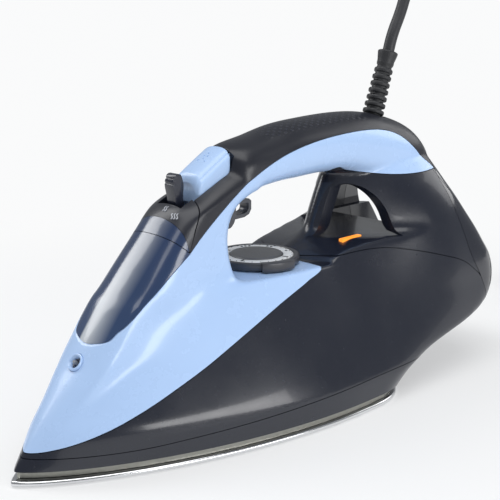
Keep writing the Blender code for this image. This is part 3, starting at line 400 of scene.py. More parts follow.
def moulded(name, colour, roughness, grain=0.012, coat=0.0, spread=0.05, dust=0.02):
    """Injection-moulded plastic: fine spark grain, faint flow variation, soft handling marks."""
    f = Finish(name, colour, roughness)
    flow = f.noise(9.0, 3.0)
    darker = tuple(c * 0.955 for c in colour)
    lighter = tuple(min(c * 1.035 + 0.001, 1.0) for c in colour)
    f.tint(f.ramp(flow, 0.30, 0.70, 0.0, 1.0), lighter)
    f.tint(f.ramp(f.noise(23.0, 4.0), 0.52, 0.80, 0.0, 0.25), darker)
    specks = f.noise(900.0, 1.0)
    f.tint(f.ramp(specks, 0.70, 0.80, 0.0, dust * 4.0), tuple(min(c + 0.25, 1.0) for c in colour))
    wipes = f.noise(46.0, 5.0, roughness=0.65)
    f.rough(f.ramp(wipes, 0.25, 0.75, max(roughness - spread, 0.02), roughness + spread))
    f.bump(f.noise(GRAIN_SCALE, 2.0), grain)
    f.bump(f.noise(38.0, 2.0), 0.015, 0.5)
    if coat:
        f.put("Coat Weight", coat)
        f.put("Coat Roughness", 0.06)
    return f


def brushed(name, colour, roughness, stretch=(1.0, 1.0, 1.0), scratch=0.006):
    """Metal with fine directional marks."""
    f = Finish(name, colour, roughness, 1.0)
    mapping = f.nodes.new("ShaderNodeMapping")
    mapping.inputs["Scale"].default_value = stretch
    f.links.new(f.where, mapping.inputs["Vector"])
    lines = f.noise(600.0, 4.0, mapping.outputs["Vector"], 0.6)
    f.rough(f.ramp(lines, 0.3, 0.7, roughness * 0.75, roughness * 1.35))
    f.bump(lines, scratch)
    f.tint(f.ramp(f.noise(14.0, 3.0), 0.45, 0.75, 0.0, 0.5), tuple(c * 0.82 for c in colour))
    return f


BLUE = (0.430, 0.600, 0.890)
NAVY = (0.0098, 0.0124, 0.0225)
CHARCOAL = (0.0115, 0.0130, 0.0200)

blue_plastic = moulded("light_blue_gloss_plastic", BLUE, 0.27, grain=0.006, coat=0.25, spread=0.04,
                       dust=0.004)
navy_plastic = moulded("navy_satin_plastic", NAVY, 0.24, grain=0.007, coat=0.30, spread=0.05)
gloss_plastic = moulded("gloss_navy_plastic", (0.010, 0.012, 0.021), 0.13, grain=0.003, coat=0.55,
                        spread=0.03)
collar_plastic = moulded("collar_plastic", (0.0105, 0.0125, 0.0210), 0.34, grain=0.008, coat=0.1)
rubber = moulded("black_rubber", (0.016, 0.017, 0.020), 0.52, grain=0.02, spread=0.08)
cord_rubber = moulded("cord_rubber", (0.019, 0.020, 0.024), 0.46, grain=0.016, spread=0.07)
grey_plastic = moulded("grey_plastic", (0.22, 0.23, 0.25), 0.38)
white_plastic = moulded("white_plastic", (0.72, 0.73, 0.74), 0.36)
steel = brushed("polished_steel", (0.74, 0.745, 0.76), 0.16, (1.0, 0.05, 1.0))
plain_steel = brushed("drawn_steel", (0.60, 0.61, 0.62), 0.30)
brass = brushed("plated_brass", (0.80, 0.74, 0.55), 0.25)


GRIP_DOT_PITCH = 0.0036


def handle_finish():
    """Dark grip with rows of small raised dots along the top of the handle."""
    f = moulded("grip_plastic", CHARCOAL, 0.33, grain=0.014, spread=0.06)
    x, y, z = f.axes()
    pitch = 2 * math.pi / GRIP_DOT_PITCH
    across = f.math("COSINE", f.math("MULTIPLY", x, pitch))
    along = f.math("COSINE", f.math("MULTIPLY", y, pitch * 0.72))
    dots = f.ramp(f.math("MULTIPLY", across, along), 0.30, 0.62, 0.0, 1.0)
    width = f.ramp(f.math("ABSOLUTE", x), 0.0105, 0.0125, 1.0, 0.0)
    front = f.ramp(y, -0.004, 0.002, 0.0, 1.0)
    rear = f.ramp(y, 0.070, 0.078, 1.0, 0.0)
    top = f.ramp(z, 0.1440, 0.1455, 0.0, 1.0)
    zone = f.math("MULTIPLY", f.math("MULTIPLY", width, front), f.math("MULTIPLY", rear, top))
    dots = f.math("MULTIPLY", dots, zone)
    f.bump(dots, 0.6)
    f.tint(f.math("MULTIPLY", dots, 0.8), tuple(c * 2.6 for c in CHARCOAL))
    return f


grip_plastic = handle_finish()


def window_finish():
    """Smoked blue plastic, lighter low down, with a painted reflection: a soft pale band along it, strongest
    low down.
    """
    f = Finish("smoked_blue_window", (0.016, 0.036, 0.100), 0.10)
    across, _, height = f.axes()
    f.tint(f.ramp(height, 0.060, 0.112, 1.0, 0.0), (0.034, 0.070, 0.165))
    f.tint(f.ramp(f.noise(10.0, 2.0), 0.40, 0.75, 0.0, 0.35), (0.010, 0.022, 0.064))
    # Painted reflection: a soft pale band down the window, fading towards the top.
    band = f.math("MULTIPLY", f.ramp(across, -0.0062, -0.0046, 0.0, 1.0),
                  f.ramp(across, -0.0020, 0.0115, 1.0, 0.0))
    painted_reflection = f.math("MULTIPLY", band, f.ramp(height, 0.060, 0.112, 0.92, 0.30))
    f.tint(painted_reflection, (0.60, 0.64, 0.68))
    f.rough(f.ramp(f.noise(60.0, 4.0), 0.3, 0.7, 0.15, 0.21))
    f.bump(f.noise(24.0, 2.0), 0.01)
    f.put("Transmission Weight", 0.12)
    f.put("IOR", 1.49)
    f.put("Coat Weight", 0.45)
    f.put("Coat Roughness", 0.08)
    return f


window_plastic = window_finish()


# ---------------------------------------------------------------- looks of single pieces

def turned_finish(name, colour, roughness):
    """Grey with fine rings about the dial's axis."""
    ring_pitch = 0.0005
    f = moulded(name, colour, roughness)
    x, y, _ = f.axes()
    dy = f.math("SUBTRACT", y, DIAL_Y * MM)
    radius = f.math("SQRT", f.math("ADD", f.math("MULTIPLY", x, x), f.math("MULTIPLY", dy, dy)))
    rings = f.math("SINE", f.math("MULTIPLY", radius, 2 * math.pi / ring_pitch))
    f.bump(rings, 0.012)
    f.put("Metallic", 0.35)
    return f


mark_plastic = moulded("raised_mark_plastic", (0.30, 0.47, 0.78), 0.30)
lever_plastic = moulded("lever_plastic", (0.017, 0.020, 0.034), 0.26, coat=0.3)
trigger_plastic = moulded("trigger_plastic", (0.045, 0.048, 0.058), 0.24, coat=0.3)
dial_plastic = moulded("dial_plastic", (0.040, 0.041, 0.048), 0.34, coat=0.15)
scale_plastic = moulded("scale_plastic", (0.74, 0.74, 0.73), 0.40)
cap_metal = turned_finish("turned_grey_cap", (0.125, 0.125, 0.128), 0.36)
ink = moulded("dark_print", (0.03, 0.03, 0.035), 0.45)
light_print = moulded("light_grey_print", (0.42, 0.44, 0.48), 0.42)
pointer_ink = moulded("blue_grey_print", (0.17, 0.27, 0.50), 0.42)
nozzle_plastic = moulded("nozzle_plastic", (0.020, 0.030, 0.075), 0.16, coat=0.4)


# ---------------------------------------------------------------- outer form, in millimetres

WALL = 2.4
GAP = 0.36
SOLE_HALF_WIDTH = 60.0
DECK_Z = 76.5
FLOOR_Z = 84.0
DIAL_RADIUS = 23.3

# Side-view profile tables: (z, y)
NOSE_LINE = [(0, -158), (6, -156.5), (15, -150), (40, -128.6), (50, -120), (60, -113.2), (80, -97.5),
             (90, -88.8), (100, -80), (113, -68), (125, -56)]
BOW_WIDTH = [(12, 2), (18, 5), (30, 11), (42, 16), (56, 19), (80, 19.5)]
REAR_LINE = [(0, 74), (5, 75), (10, 81), (16, 90), (22, 101), (26, 114), (30, 130), (34, 142), (42, 154),
             (50, 159), (56, 160), (63, 159), (72, 154), (80, 149), (90, 142), (100, 136), (110, 131),
             (124, 127)]
KEEL_LINE = [(76.5, 14), (80, 20), (83, 28), (86, 36), (89, 39.5), (95, 42), (104, 46), (112, 50), (124, 57)]
REAR_WIDTH = [(5, 59), (18, 60), (54, 54), (80, 48), (90, 45), (100, 41), (110, 35), (118, 28.5), (124, 23)]

# Side-view seams: (y, z), front to rear
BLUE_LOWER = [(-175, 13.4), (-152, 14.3), (-140, 16.8), (-121, 23.4), (-99, 32.0), (-88, 36.6), (-70, 44.0),
              (-56, 50.0), (-40, 56.6), (-18, 64.8), (3, 71.4), (17, 76.2), (19, 82)]
GRIP_LOWER = [(38, 112), (46, 123.5), (59, 120.5), (81, 117), (100, 116), (119, 116.8)]
GRIP_UPPER = [(-65.2, 95.8), (-57, 102.8), (-42, 113.5), (-22, 126), (2, 135.5), (37, 141.5), (80, 142),
              (96, 137.5), (107, 129.5), (115, 121.5), (119, 116.8)]
WINDOW_BOTTOM = [(-130, 50), (-114.8, 57.6), (-113.2, 58.9), (-109.8, 61.2), (-106.4, 64.6)]
WINDOW_SIDE = [(-106.4, 64.6), (-99.8, 69.8), (-92.2, 76.0), (-79.0, 86.4), (-65.2, 95.8)]
BAND_LOWER = [(-103, 131), (-81, 110.5), (-65.2, 95.8)]
WINDOW_TOP = [(-76, 128), (-70, 116.5), (-67.6, 107.5), (-65.5, 97.2)]
BAND_UPPER = [(-82, 143.5), (-58.5, 126.5), (-53.8, 119.5)]
SKIRT_LINE = [(-175, 12.6), (-110, 12.8), (-85, 14.2), (-50, 15.8), (-10, 17.4), (40, 18.8), (160, 20)]
ARCH_LOWER = [(10, 76.3), (30, 79.2), (60, 80), (80, 76.5), (100, 71), (120, 64), (134, 54)]
REAR_SEAM = [(150, 12), (138, 26), (138, 41), (134, 54), (128, 66), (124, 79), (120.5, 92), (118, 103),
             (117, 112), (119, 116.8), (123, 126), (136, 146)]
ARCH_HOLE = [(37.5, 84.3), (38.2, 91), (41.5, 99.5), (46.5, 106.5), (52.5, 111.0), (59, 112.8), (65.5, 111.2),
             (71, 106.5), (74.6, 99.5), (76.2, 91), (76.6, 84.3)]

# Handle sections: top point (y, z), inner point (y, z), half width, nose power, nose share, rear share
HANDLE_SECTIONS = [
    ((-104.0, 64.0), (-38.0, 61.0), 16.0, 0.50, 0.20, 0.88),
    ((-100.0, 76.0), (-31.5, 75.0), 21.5, 0.50, 0.22, 0.88),
    ((-91.6, 86.0), (-33.5, 84.5), 20.6, 0.50, 0.22, 0.86),
    ((-83.2, 95.5), (-34.3, 93.5), 19.6, 0.50, 0.24, 0.82),
    ((-74.0, 105.5), (-33.2, 102.0), 19.0, 0.50, 0.27, 0.76),
    ((-64.8, 115.0), (-30.0, 108.0), 18.4, 0.50, 0.32, 0.70),
    ((-51.5, 121.5), (-25.0, 113.0), 18.0, 0.50, 0.40, 0.62),
    ((-37.0, 128.5), (-17.0, 116.5), 18.0, 0.50, 0.50, 0.60),
    ((-31.5, 131.4), (-12.0, 117.6), 18.0, 0.50, 0.50, 0.60),
    ((-26.8, 141.2), (-7.0, 118.6), 18.0, 0.50, 0.48, 0.60),
    ((-6.0, 145.8), (7.0, 119.8), 18.0, 0.50, 0.48, 0.60),
    ((14.0, 149.8), (20.0, 120.0), 18.0, 0.50, 0.48, 0.60),
    ((38.0, 151.4), (40.0, 120.6), 18.4, 0.50, 0.48, 0.62),
    ((60.0, 151.9), (58.0, 119.0), 19.4, 0.50, 0.50, 0.64),
    ((78.0, 151.0), (72.0, 115.0), 20.8, 0.50, 0.52, 0.66),
    ((94.0, 148.4), (88.0, 113.0), 22.0, 0.50, 0.55, 0.68),
    ((108.0, 144.6), (103.0, 112.5), 22.8, 0.50, 0.60, 0.70),
    ((118.0, 140.0), (113.0, 112.5), 22.6, 0.50, 0.65, 0.70),
    ((125.5, 133.0), (120.5, 112.8), 21.0, 0.50, 0.70, 0.70),
    ((129.0, 126.5), (126.0, 114.5), 17.0, 0.50, 0.70, 0.70),
]


def smooth_step(low, high, value):
    t = min(max((value - low) / (high - low), 0.0), 1.0)
    return t * t * (3.0 - 2.0 * t)


def follow(table, value):
    """Monotone cubic through (key, value) pairs."""
    if value <= table[0][0]:
        return table[0][1]
    if value >= table[-1][0]:
        return table[-1][1]
    count = len(table)
    steps = [table[i + 1][0] - table[i][0] for i in range(count - 1)]
    slopes = [(table[i + 1][1] - table[i][1]) / steps[i] for i in range(count - 1)]
    tangents = [slopes[0]]
    for i in range(1, count - 1):
        left, right = slopes[i - 1], slopes[i]
        tangents.append(0.0 if left * right <= 0 else 2.0 * left * right / (left + right))
    tangents.append(slopes[-1])
    i = 0
    while value > table[i + 1][0]:
        i += 1
    h = steps[i]
    t = (value - table[i][0]) / h
    return ((2 * t ** 3 - 3 * t ** 2 + 1) * table[i][1] + (t ** 3 - 2 * t ** 2 + t) * h * tangents[i]
            + (-2 * t ** 3 + 3 * t ** 2) * table[i + 1][1] + (t ** 3 - t ** 2) * h * tangents[i + 1])


def curve_through(points, spacing):
    """Centripetal Catmull-Rom curve through points of any size, read about every spacing."""
    knots = [Vector(p) for p in points]
    knots = [knots[0] * 2 - knots[1]] + knots + [knots[-1] * 2 - knots[-2]]
    out = []
    for i in range(1, len(knots) - 2):
        p0, p1, p2, p3 = knots[i - 1:i + 3]
        t0 = 0.0
        t1 = t0 + math.sqrt((p1 - p0).length)
        t2 = t1 + math.sqrt((p2 - p1).length)
        t3 = t2 + math.sqrt((p3 - p2).length)
        count = max(2, int(math.ceil((p2 - p1).length / spacing)))
        for k in range(count):
            t = t1 + (t2 - t1) * k / count
            a1 = p0 * ((t1 - t) / (t1 - t0)) + p1 * ((t - t0) / (t1 - t0))
            a2 = p1 * ((t2 - t) / (t2 - t1)) + p2 * ((t - t1) / (t2 - t1))
            a3 = p2 * ((t3 - t) / (t3 - t2)) + p3 * ((t - t2) / (t3 - t2))
            b1 = a1 * ((t2 - t) / (t2 - t0)) + a2 * ((t - t0) / (t2 - t0))
            b2 = a2 * ((t3 - t) / (t3 - t1)) + a3 * ((t - t1) / (t3 - t1))
            out.append(b1 * ((t2 - t) / (t2 - t1)) + b2 * ((t - t1) / (t2 - t1)))
    out.append(knots[-2])
    return [tuple(p) for p in out]


def side_width(y, z):
    taper = (max(0.0, z - 18.0) / 67.0) ** 1.1
    front = SOLE_HALF_WIDTH * (1.0 - 0.55 * taper)
    rear = follow(REAR_WIDTH, z)
    return front + (rear - front) * smooth_step(20.0, 115.0, y)


def nose_factor(y, nose, power):
    length = 18.0 - nose
    t = min(max((y - nose) / length, 0.0), 1.0)
    return (1.0 - (1.0 - t) ** 1.84) ** power


def rear_factor(y, rear, length, power):
    r = min(max((rear - y) / length, 0.0), 1.0)
    return (1.0 - (1.0 - r) ** power) ** (1.0 / power)


def body_width(y, z, nose, rear):
    power = 0.78 - 0.20 * smooth_step(4.0, 26.0, z)
    bow = follow(BOW_WIDTH, z) * math.sqrt(1.0 - (1.0 - min(max(y - nose, 0.0) / 7.0, 1.0)) ** 2)
    corner = 45.0 - 20.0 * smooth_step(12.0, 40.0, z)
    squareness = 2.6 + 1.2 * smooth_step(12.0, 40.0, z)
    hull = side_width(y, z) * nose_factor(y, nose, power)
    gap = max(6.0 - abs(hull - bow), 0.0) * min(bow, 6.0) / 6.0
    return (max(hull, bow) + gap * gap / 24.0) * rear_factor(y, rear, corner, squareness)


def mirrored_ring(half):
    return half + [(-x, y, z) for x, y, z in reversed(half[1:-1])]


def spread(low, high, share):
    return low + (high - low) * (1.0 - math.cos(math.pi * share)) / 2.0


def body_ring(z, steps, inset=0.0, rear_inset=0.0):
    nose = follow(NOSE_LINE, z) + inset * 1.3
    rear = follow(REAR_LINE, z) - max(inset, rear_inset)
    half = []
    for i in range(steps + 1):
        y = spread(nose, rear, i / steps)
        x = body_width(y, z, nose, rear) - inset if 0 < i < steps else 0.0
        half.append((max(x, 0.0 if i in (0, steps) else 0.15), y, z))
    return mirrored_ring(half)


def levels(low, high, step):
    count = int(math.ceil((high - low) / step))
    return [low + (high - low) * i / count for i in range(count + 1)]


def keel_width(y, z, keel):
    t = max(y - keel, 0.0)
    tip = 5.5 * math.sqrt(1.0 - (1.0 - min(t / 5.5, 1.0)) ** 2)
    slope = 0.75 + 2.2 * (1.0 - smooth_step(76.5, 86.0, z))
    opened = tip + slope * max(t - 2.0, 0.0)
    full = side_width(y, z)
    blend = 5.0
    gap = max(blend - abs(opened - full), 0.0)
    return min(opened, full) - gap * gap / (4.0 * blend)


def arch_ring(z, steps):
    keel = follow(KEEL_LINE, z)
    rear = follow(REAR_LINE, z)
    half = []
    for i in range(steps + 1):
        y = spread(keel, rear, i / steps)
        x = keel_width(y, z, keel) * rear_factor(y, rear, 25.0, 3.8) if 0 < i < steps else 0.0
        half.append((max(x, 0.0 if i in (0, steps) else 0.15), y, z))
    return mirrored_ring(half)


def handle_ring(section, steps, inset=0.0):
    ty, tz, by, bz, width, power, nose_share, rear_share = section
    length = math.hypot(by - ty, bz - tz)
    shrink = inset / length
    half = []
    for i in range(steps + 1):
        share = spread(0.0, 1.0, i / steps)
        along = shrink + (1.0 - 2.0 * shrink) * share
        nose = (1.0 - (1.0 - min(share / nose_share, 1.0)) ** 2) ** power
        t = max(0.0, (share - rear_share) / (1.0 - rear_share))
        rear = (1.0 - t ** 2.4) ** (1.0 / 2.4)
        x = (width - inset) * nose * rear if 0 < i < steps else 0.0
        half.append((x, ty + (by - ty) * along, tz + (bz - tz) * along))
    return mirrored_ring(half)


def smooth_rows(rows, steps):
    """Rows of numbers with Catmull-Rom rows between them, steps to each gap."""
    first = [2 * a - b for a, b in zip(rows[0], rows[1])]
    last = [2 * a - b for a, b in zip(rows[-1], rows[-2])]
    padded = [first] + rows + [last]
    out = []
    for i in range(1, len(rows)):
        for k in range(steps):
            t = k / steps
            out.append([0.5 * (2 * b + (c - a) * t + (2 * a - 5 * b + 4 * c - d) * t ** 2
                               + (3 * b - a - 3 * c + d) * t ** 3)
                        for a, b, c, d in zip(*padded[i - 1:i + 3])])
    return out + [rows[-1]]


def handle_sections(steps):
    """The listed sections with smoothly read ones between them."""
    return smooth_rows([(*top, *inner, *rest) for top, inner, *rest in HANDLE_SECTIONS], steps)


def offset_line(points, distance):
    shifted = []
    for i, (y, z) in enumerate(points):
        before = points[max(i - 1, 0)]
        after = points[min(i + 1, len(points) - 1)]
        dy, dz = after[0] - before[0], after[1] - before[1]
        length = math.hypot(dy, dz) or 1.0
        shifted.append((y - dz / length * distance, z + dy / length * distance))
    return shifted


def seam(points, distance=0.0):
    """Smooth seam line through side-view points, shifted to its left by distance."""
    return offset_line(curve_through(points, 1.5), distance)


def back_seam(points, distance=0.0):
    return list(reversed(seam(points, distance)))


def heel_hollow():
    rings = []
    for z in levels(FLOOR_Z, 111.0, 2.0):
        keel = follow(KEEL_LINE, z) + 9.0
        half = []
        for i in range(29):
            y = spread(keel, 175.0, i / 28)
            reach = keel_width(min(y, 112.0), z, keel - 4.0) - 3.4
            x = reach * min(1.0, (y - keel) / 3.0) if 0 < i < 28 else 0.0
            half.append((max(x, 0.0 if i in (0, 28) else 0.2), y, z))
        rings.append(mirrored_ring(half))
    return loft(rings)


def ramp_outline(drop):
    top = 89.3
    return [(100.5, FLOOR_Z + 0.2 - drop), (128, 74.5 - drop), (152, 61 - drop), (185, 52 - drop),
            (185, top), (100.5, top)]


def outer_form():
    """The three body masses melted into one skin with soft fillets."""
    bm = loft([body_ring(z, 84) for z in levels(1.0, DECK_Z, 1.6)])
    whole = bm_mesh("outer_form", bm)
    for other in (loft([handle_ring(s, 56) for s in handle_sections(6)]),
                  loft([arch_ring(z, 70) for z in levels(DECK_Z - 0.5, 123.0, 1.5)])):
        whole = combine(whole, bm_mesh("mass", other), "UNION")
    obj = scratch_object(whole)
    remesh = obj.modifiers.new("skin", "REMESH")
    remesh.mode = "VOXEL"
    remesh.voxel_size = 1.0 * MM
    remesh.use_smooth_shade = True
    soften = obj.modifiers.new("soften", "SMOOTH")
    soften.factor = 0.5
    soften.iterations = 14
    made = evaluated_mesh(obj, "outer_form")
    drop(obj)
    return melted_neck(made)


def melted_neck(mesh):
    """Let the front of the handle flow into the nose without a crease."""
    obj = scratch_object(mesh)
    group = obj.vertex_groups.new(name="neck")
    for vertex in mesh.vertices:
        y, z = vertex.co.y / MM, vertex.co.z / MM
        weight = smooth_step(-26.0, -52.0, y) * smooth_step(48.0, 60.0, z) * smooth_step(116.0, 98.0, z)
        if weight > 0.0:
            group.add([vertex.index], weight, "REPLACE")
    melt = obj.modifiers.new("melt", "SMOOTH")
    melt.factor = 0.5
    melt.iterations = 150
    melt.vertex_group = "neck"
    made = evaluated_mesh(obj, "outer_form")
    drop(obj)
    return made


def hollow_form(skin):
    """Walls round one cavity, open at the heel and through the arch."""
    skin = combine(skin, bm_mesh("heel", heel_hollow()), "DIFFERENCE")
    hole = curve_through(ARCH_HOLE, 1.2)
    for side in (1, -1):
        skin = combine(skin, bm_mesh("hole", prism(hole, 32.25, side * 37.75)), "DIFFERENCE")
    skin = combine(skin, bm_mesh("ramp", prism(ramp_outline(0.0), 38.5)), "DIFFERENCE")
    cavity = bm_mesh("cavity", loft([body_ring(z, 36, WALL, WALL * (2.6 if z < 44 else 1.2))
                                     for z in levels(0.0, DECK_Z - WALL, 6.0)]))
    cavity = combine(cavity, bm_mesh("floor", prism(ramp_outline(WALL), 42.0)), "DIFFERENCE")
    sections = handle_sections(1)[:-1:2]
    cavity = combine(cavity, bm_mesh("inner", loft([handle_ring(s, 20, WALL) for s in sections])), "UNION")
    return combine(skin, cavity, "DIFFERENCE")


def shell(name, outline, form, cuts=(), half_width=80.0, centre_x=0.0):
    mesh = combine(bm_mesh(name, prism(outline, half_width, centre_x)), form.copy(), "INTERSECT")
    for label, tool in enumerate(cuts):
        mesh = combine(mesh, bm_mesh("cut_%d" % label, tool), "DIFFERENCE")
    mesh.name = name
    return mesh


# ---------------------------------------------------------------- outer pieces

NOZZLE_POINT = (0.0, -120.0, 50.0)
NOZZLE_TURN = Vector((0.0, -0.753, 0.658)).to_track_quat("Z", "Y")
GUARD_BASE = Vector((0.0, 94.6, 145.6))
GUARD_AXIS = Vector((0.0, 0.342, 0.940))
GUARD_LENGTH = 40.0
GUARD_RIBS = 7
GUARD_PITCH = 4.1
GUARD_TURN = GUARD_AXIS.to_track_quat("Z", "Y")
BUTTON_HALF_WIDTH = 9.8
SCREW_X = 38.0
SCREW_Y = 153.2
SCREW_Z = 50.0


def wiring_duct():
    return rod((0, 60.5, 126), (0, 33.5, 71), 2.1)


def dial_pocket():
    return placed(lathe([(DIAL_RADIUS + 0.7, 76.9), (DIAL_RADIUS + 0.7, 90.0)], 96), (0, DIAL_Y, 0))


def spindle_bore():
    return placed(lathe([(5.0, 60.0), (5.0, 90.0)], 40), (0, DIAL_Y, 0))


def nozzle_bore():
    return placed(lathe([(4.6, -12.0), (4.6, 12.0)], 48), NOZZLE_POINT, NOZZLE_TURN)


def guard_bore():
    return placed(lathe([(8.0, -14.0), (8.0, 14.0)], 48), GUARD_BASE, GUARD_TURN)


def lamp_opening():
    grow, drop = 0.35, -4.0
    return block((19.2 - grow, 44.5 - grow, FLOOR_Z - 1.2 + drop), (22.0 + grow, 60.5 + grow, FLOOR_Z + 7.0))


def build_shells(form):
    g = GAP / 2.0
    front = [(-175, 60)] + seam(BLUE_LOWER, g) + [(24, 82), (30, 100)] + seam(GRIP_LOWER, g)[:-1]
    front += [(118.0, 116.9)] + back_seam(GRIP_UPPER, -g)[1:]
    front += back_seam(WINDOW_SIDE, -g)[1:] + back_seam(WINDOW_BOTTOM, -g)[1:]
    slot = [(-30.5, 98), (-17.5, 98), (-17.5, 118.2), (-34.6, 118.2), (-34.6, 109), (-30.5, 107)]
    mesh = shell("front_shell_skin", front, form,
                 (nozzle_bore(), spindle_bore(), prism(slot, 5.2), dial_pocket(), wiring_duct()))
    add_piece("front_shell_skin", mesh, blue_plastic, "iron_body", ["front_shell"])

    door = seam(WINDOW_BOTTOM, g) + seam(WINDOW_SIDE, g)[1:]
    door += back_seam(BAND_LOWER, -g)[1:] + [(-130, 110)]
    add_piece("fill_door_window", shell("fill_door_window", door, form), window_plastic,
              "filler_door_body", ["fill_door"])

    crown = seam(BAND_LOWER, g)[:-1] + back_seam(WINDOW_TOP, -0.05)
    add_piece("window_crown", shell("window_crown", crown, form), window_plastic, "iron_body")

    band = seam(WINDOW_TOP, 0.1) + [(-65.2, 96.5), (-60.8, 107.0), (-54.3, 119.1)]
    band += back_seam(BAND_UPPER, -g)[1:]
    mesh = shell("steam_collar_skin", band, form, (block((-8.8, -61.5, 110), (8.8, -50.0, 126)),))
    add_piece("steam_collar_skin", mesh, collar_plastic, "iron_body", ["steam_collar"])

    cover = seam(GRIP_UPPER, g)[:-1] + [(118.7, 117.3)] + offset_line(REAR_SEAM, g)[-2:]
    cover += [(120, 175), (-60, 175), (-80, 145)] + seam(BAND_UPPER, g)[1:-1]
    cover += [(-53.7, 119.2), (-60.3, 106.7)]
    well = prism([(-62, 112), (-46, 112.5), (-26.8, 122.8), (-26.8, 160), (-62, 160)],
                 BUTTON_HALF_WIDTH + 0.4)
    pocket = block((-7.2, -31, 130.4), (7.2, -18.7, 139.4))
    mesh = shell("handle_cover_skin", cover, form, (well, pocket, guard_bore()))
    add_piece("handle_cover_skin", mesh, grip_plastic, "iron_body", ["handle_cover"])

    arch = [(17.6, 76.2)] + [p for p in seam(ARCH_LOWER, g)[:-1] if p[0] > 20]
    rear = seam(REAR_SEAM, g)
    arch += [p for p in rear if 54.0 < p[1] < 116.5] + back_seam(GRIP_LOWER, -g)[1:]
    arch += [(30, 100), (24.4, 82.2), (19.4, 82.2)]
    mesh = shell("heel_arch_skin", arch, form, (lamp_opening(), wiring_duct(), dial_pocket()))
    add_piece("heel_arch_skin", mesh, navy_plastic, "iron_body", ["heel_arch"])

    low = back_seam(SKIRT_LINE, g)[1:]
    upper = [p for p in seam(BLUE_LOWER, -g)[1:] if p[0] < 15.0]
    upper += [p for p in seam(ARCH_LOWER, -g) if 17.0 < p[0] < 132.0]
    back = [p for p in back_seam(REAR_SEAM, g) if 24.0 < p[1] < 53.0] + [(143, 20.2)]
    for label, centre in (("right", 40.1), ("left", -40.1)):
        mesh = shell("side_panel_skin_" + label, low + upper + back, form, (wiring_duct(),), 40.0, centre)
        add_piece("side_panel_skin_" + label, mesh, navy_plastic, "iron_body",
                  ["side_panel_" + label])

    cover = [(200, 12)] + seam(REAR_SEAM, -g) + [(200, 150)]
    holes = [rod((s * SCREW_X, 148, SCREW_Z), (s * SCREW_X, 170, SCREW_Z), 1.9) for s in (-1, 1)]
    add_piece("rear_cover_skin", shell("rear_cover_skin", cover, form, holes), gloss_plastic,
              "iron_body", ["rear_cover"])

    skirt = [(-175, 7.0), (160, 7.0)] + back_seam(SKIRT_LINE, -g)
    add_piece("skirt_skin", shell("skirt_skin", skirt, form), navy_plastic, "iron_body",
              ["skirt"])


# ---------------------------------------------------------------- sole

# Steam holes in the sole: (y, half distance) of each pair, and y of each middle hole
STEAM_HOLE_PAIRS = ((-112, 7), (-92, 14), (-70, 20), (-46, 26), (-20, 31), (8, 34), (34, 35))
MIDDLE_STEAM_HOLES = (-124, -58, 0, 44)


def build_sole():
    """Polished plate with a rounded lower edge and countersunk steam holes."""
    rings = []
    for inset, z in ((1.4, 0.0), (0.7, 0.15), (0.25, 0.5), (0.0, 1.2), (0.0, 2.1), (0.3, 2.7), (0.9, 3.0)):
        rings.append([(x, y, z) for x, y, _ in body_ring(0.6, 110, inset)])
    mesh = bm_mesh("soleplate_polished", loft(rings))
    drill = bmesh.new()
    places = [(half * side, y) for y, half in STEAM_HOLE_PAIRS for side in (-1.0, 1.0)]
    for x, y in places + [(0.0, y) for y in MIDDLE_STEAM_HOLES]:
        join(drill, placed(lathe([(2.1, -0.4), (1.5, 0.35), (1.5, 4.0)], 20), (x, y, 0)))
    mesh = combine(mesh, bm_mesh("drill", drill), "DIFFERENCE")
    add_piece("soleplate_polished", mesh, steel, "iron_body", ["soleplate"], sharp=50.0)


# ---------------------------------------------------------------- controls

def button_ring(y, low, high, half):
    """Button section: flat sides, a crease, and a gently crowned top."""
    points = []
    crown = 3.0
    for i in range(13):
        t = i / 12.0 * math.pi / 2
        points.append((half * 0.84 * math.sin(t), y, high - crown * (1.0 - math.cos(t)) ** 1.2))
    shoulder = high - crown
    for t in (0.25, 0.5, 0.75, 1.0):
        x = half * (0.84 + 0.16 * math.sin(t * math.pi / 2))
        points.append((x, y, shoulder - 1.5 * (1 - math.cos(t * math.pi / 2)) - 0.5 * t))
    base = points[-1][2]
    points += [(half, y, base + (low - base) * t) for t in (0.33, 0.66, 1.0)]
    points += [(half * 0.5, y, low), (0.0, y, low)]
    return mirrored_ring(points)


def button_solid():
    """Loft through sections (y, low z, high z, half width), front to rear."""
    w = BUTTON_HALF_WIDTH
    rows = [(-49.8, 116.4, 127.6, w - 1.0), (-49.3, 116.4, 129.2, w - 0.5), (-48.4, 116.4, 130.5, w - 0.1),
            (-47.0, 116.7, 131.5, w), (-42.0, 118.3, 134.6, w), (-37.0, 120.2, 137.6, w),
            (-32.5, 121.8, 140.2, w), (-30.2, 122.9, 141.5, w - 0.1), (-29.0, 123.5, 141.8, w - 0.5),
            (-28.5, 123.8, 141.3, w - 1.1)]
    return loft([button_ring(*row) for row in smooth_rows(rows, 4)])


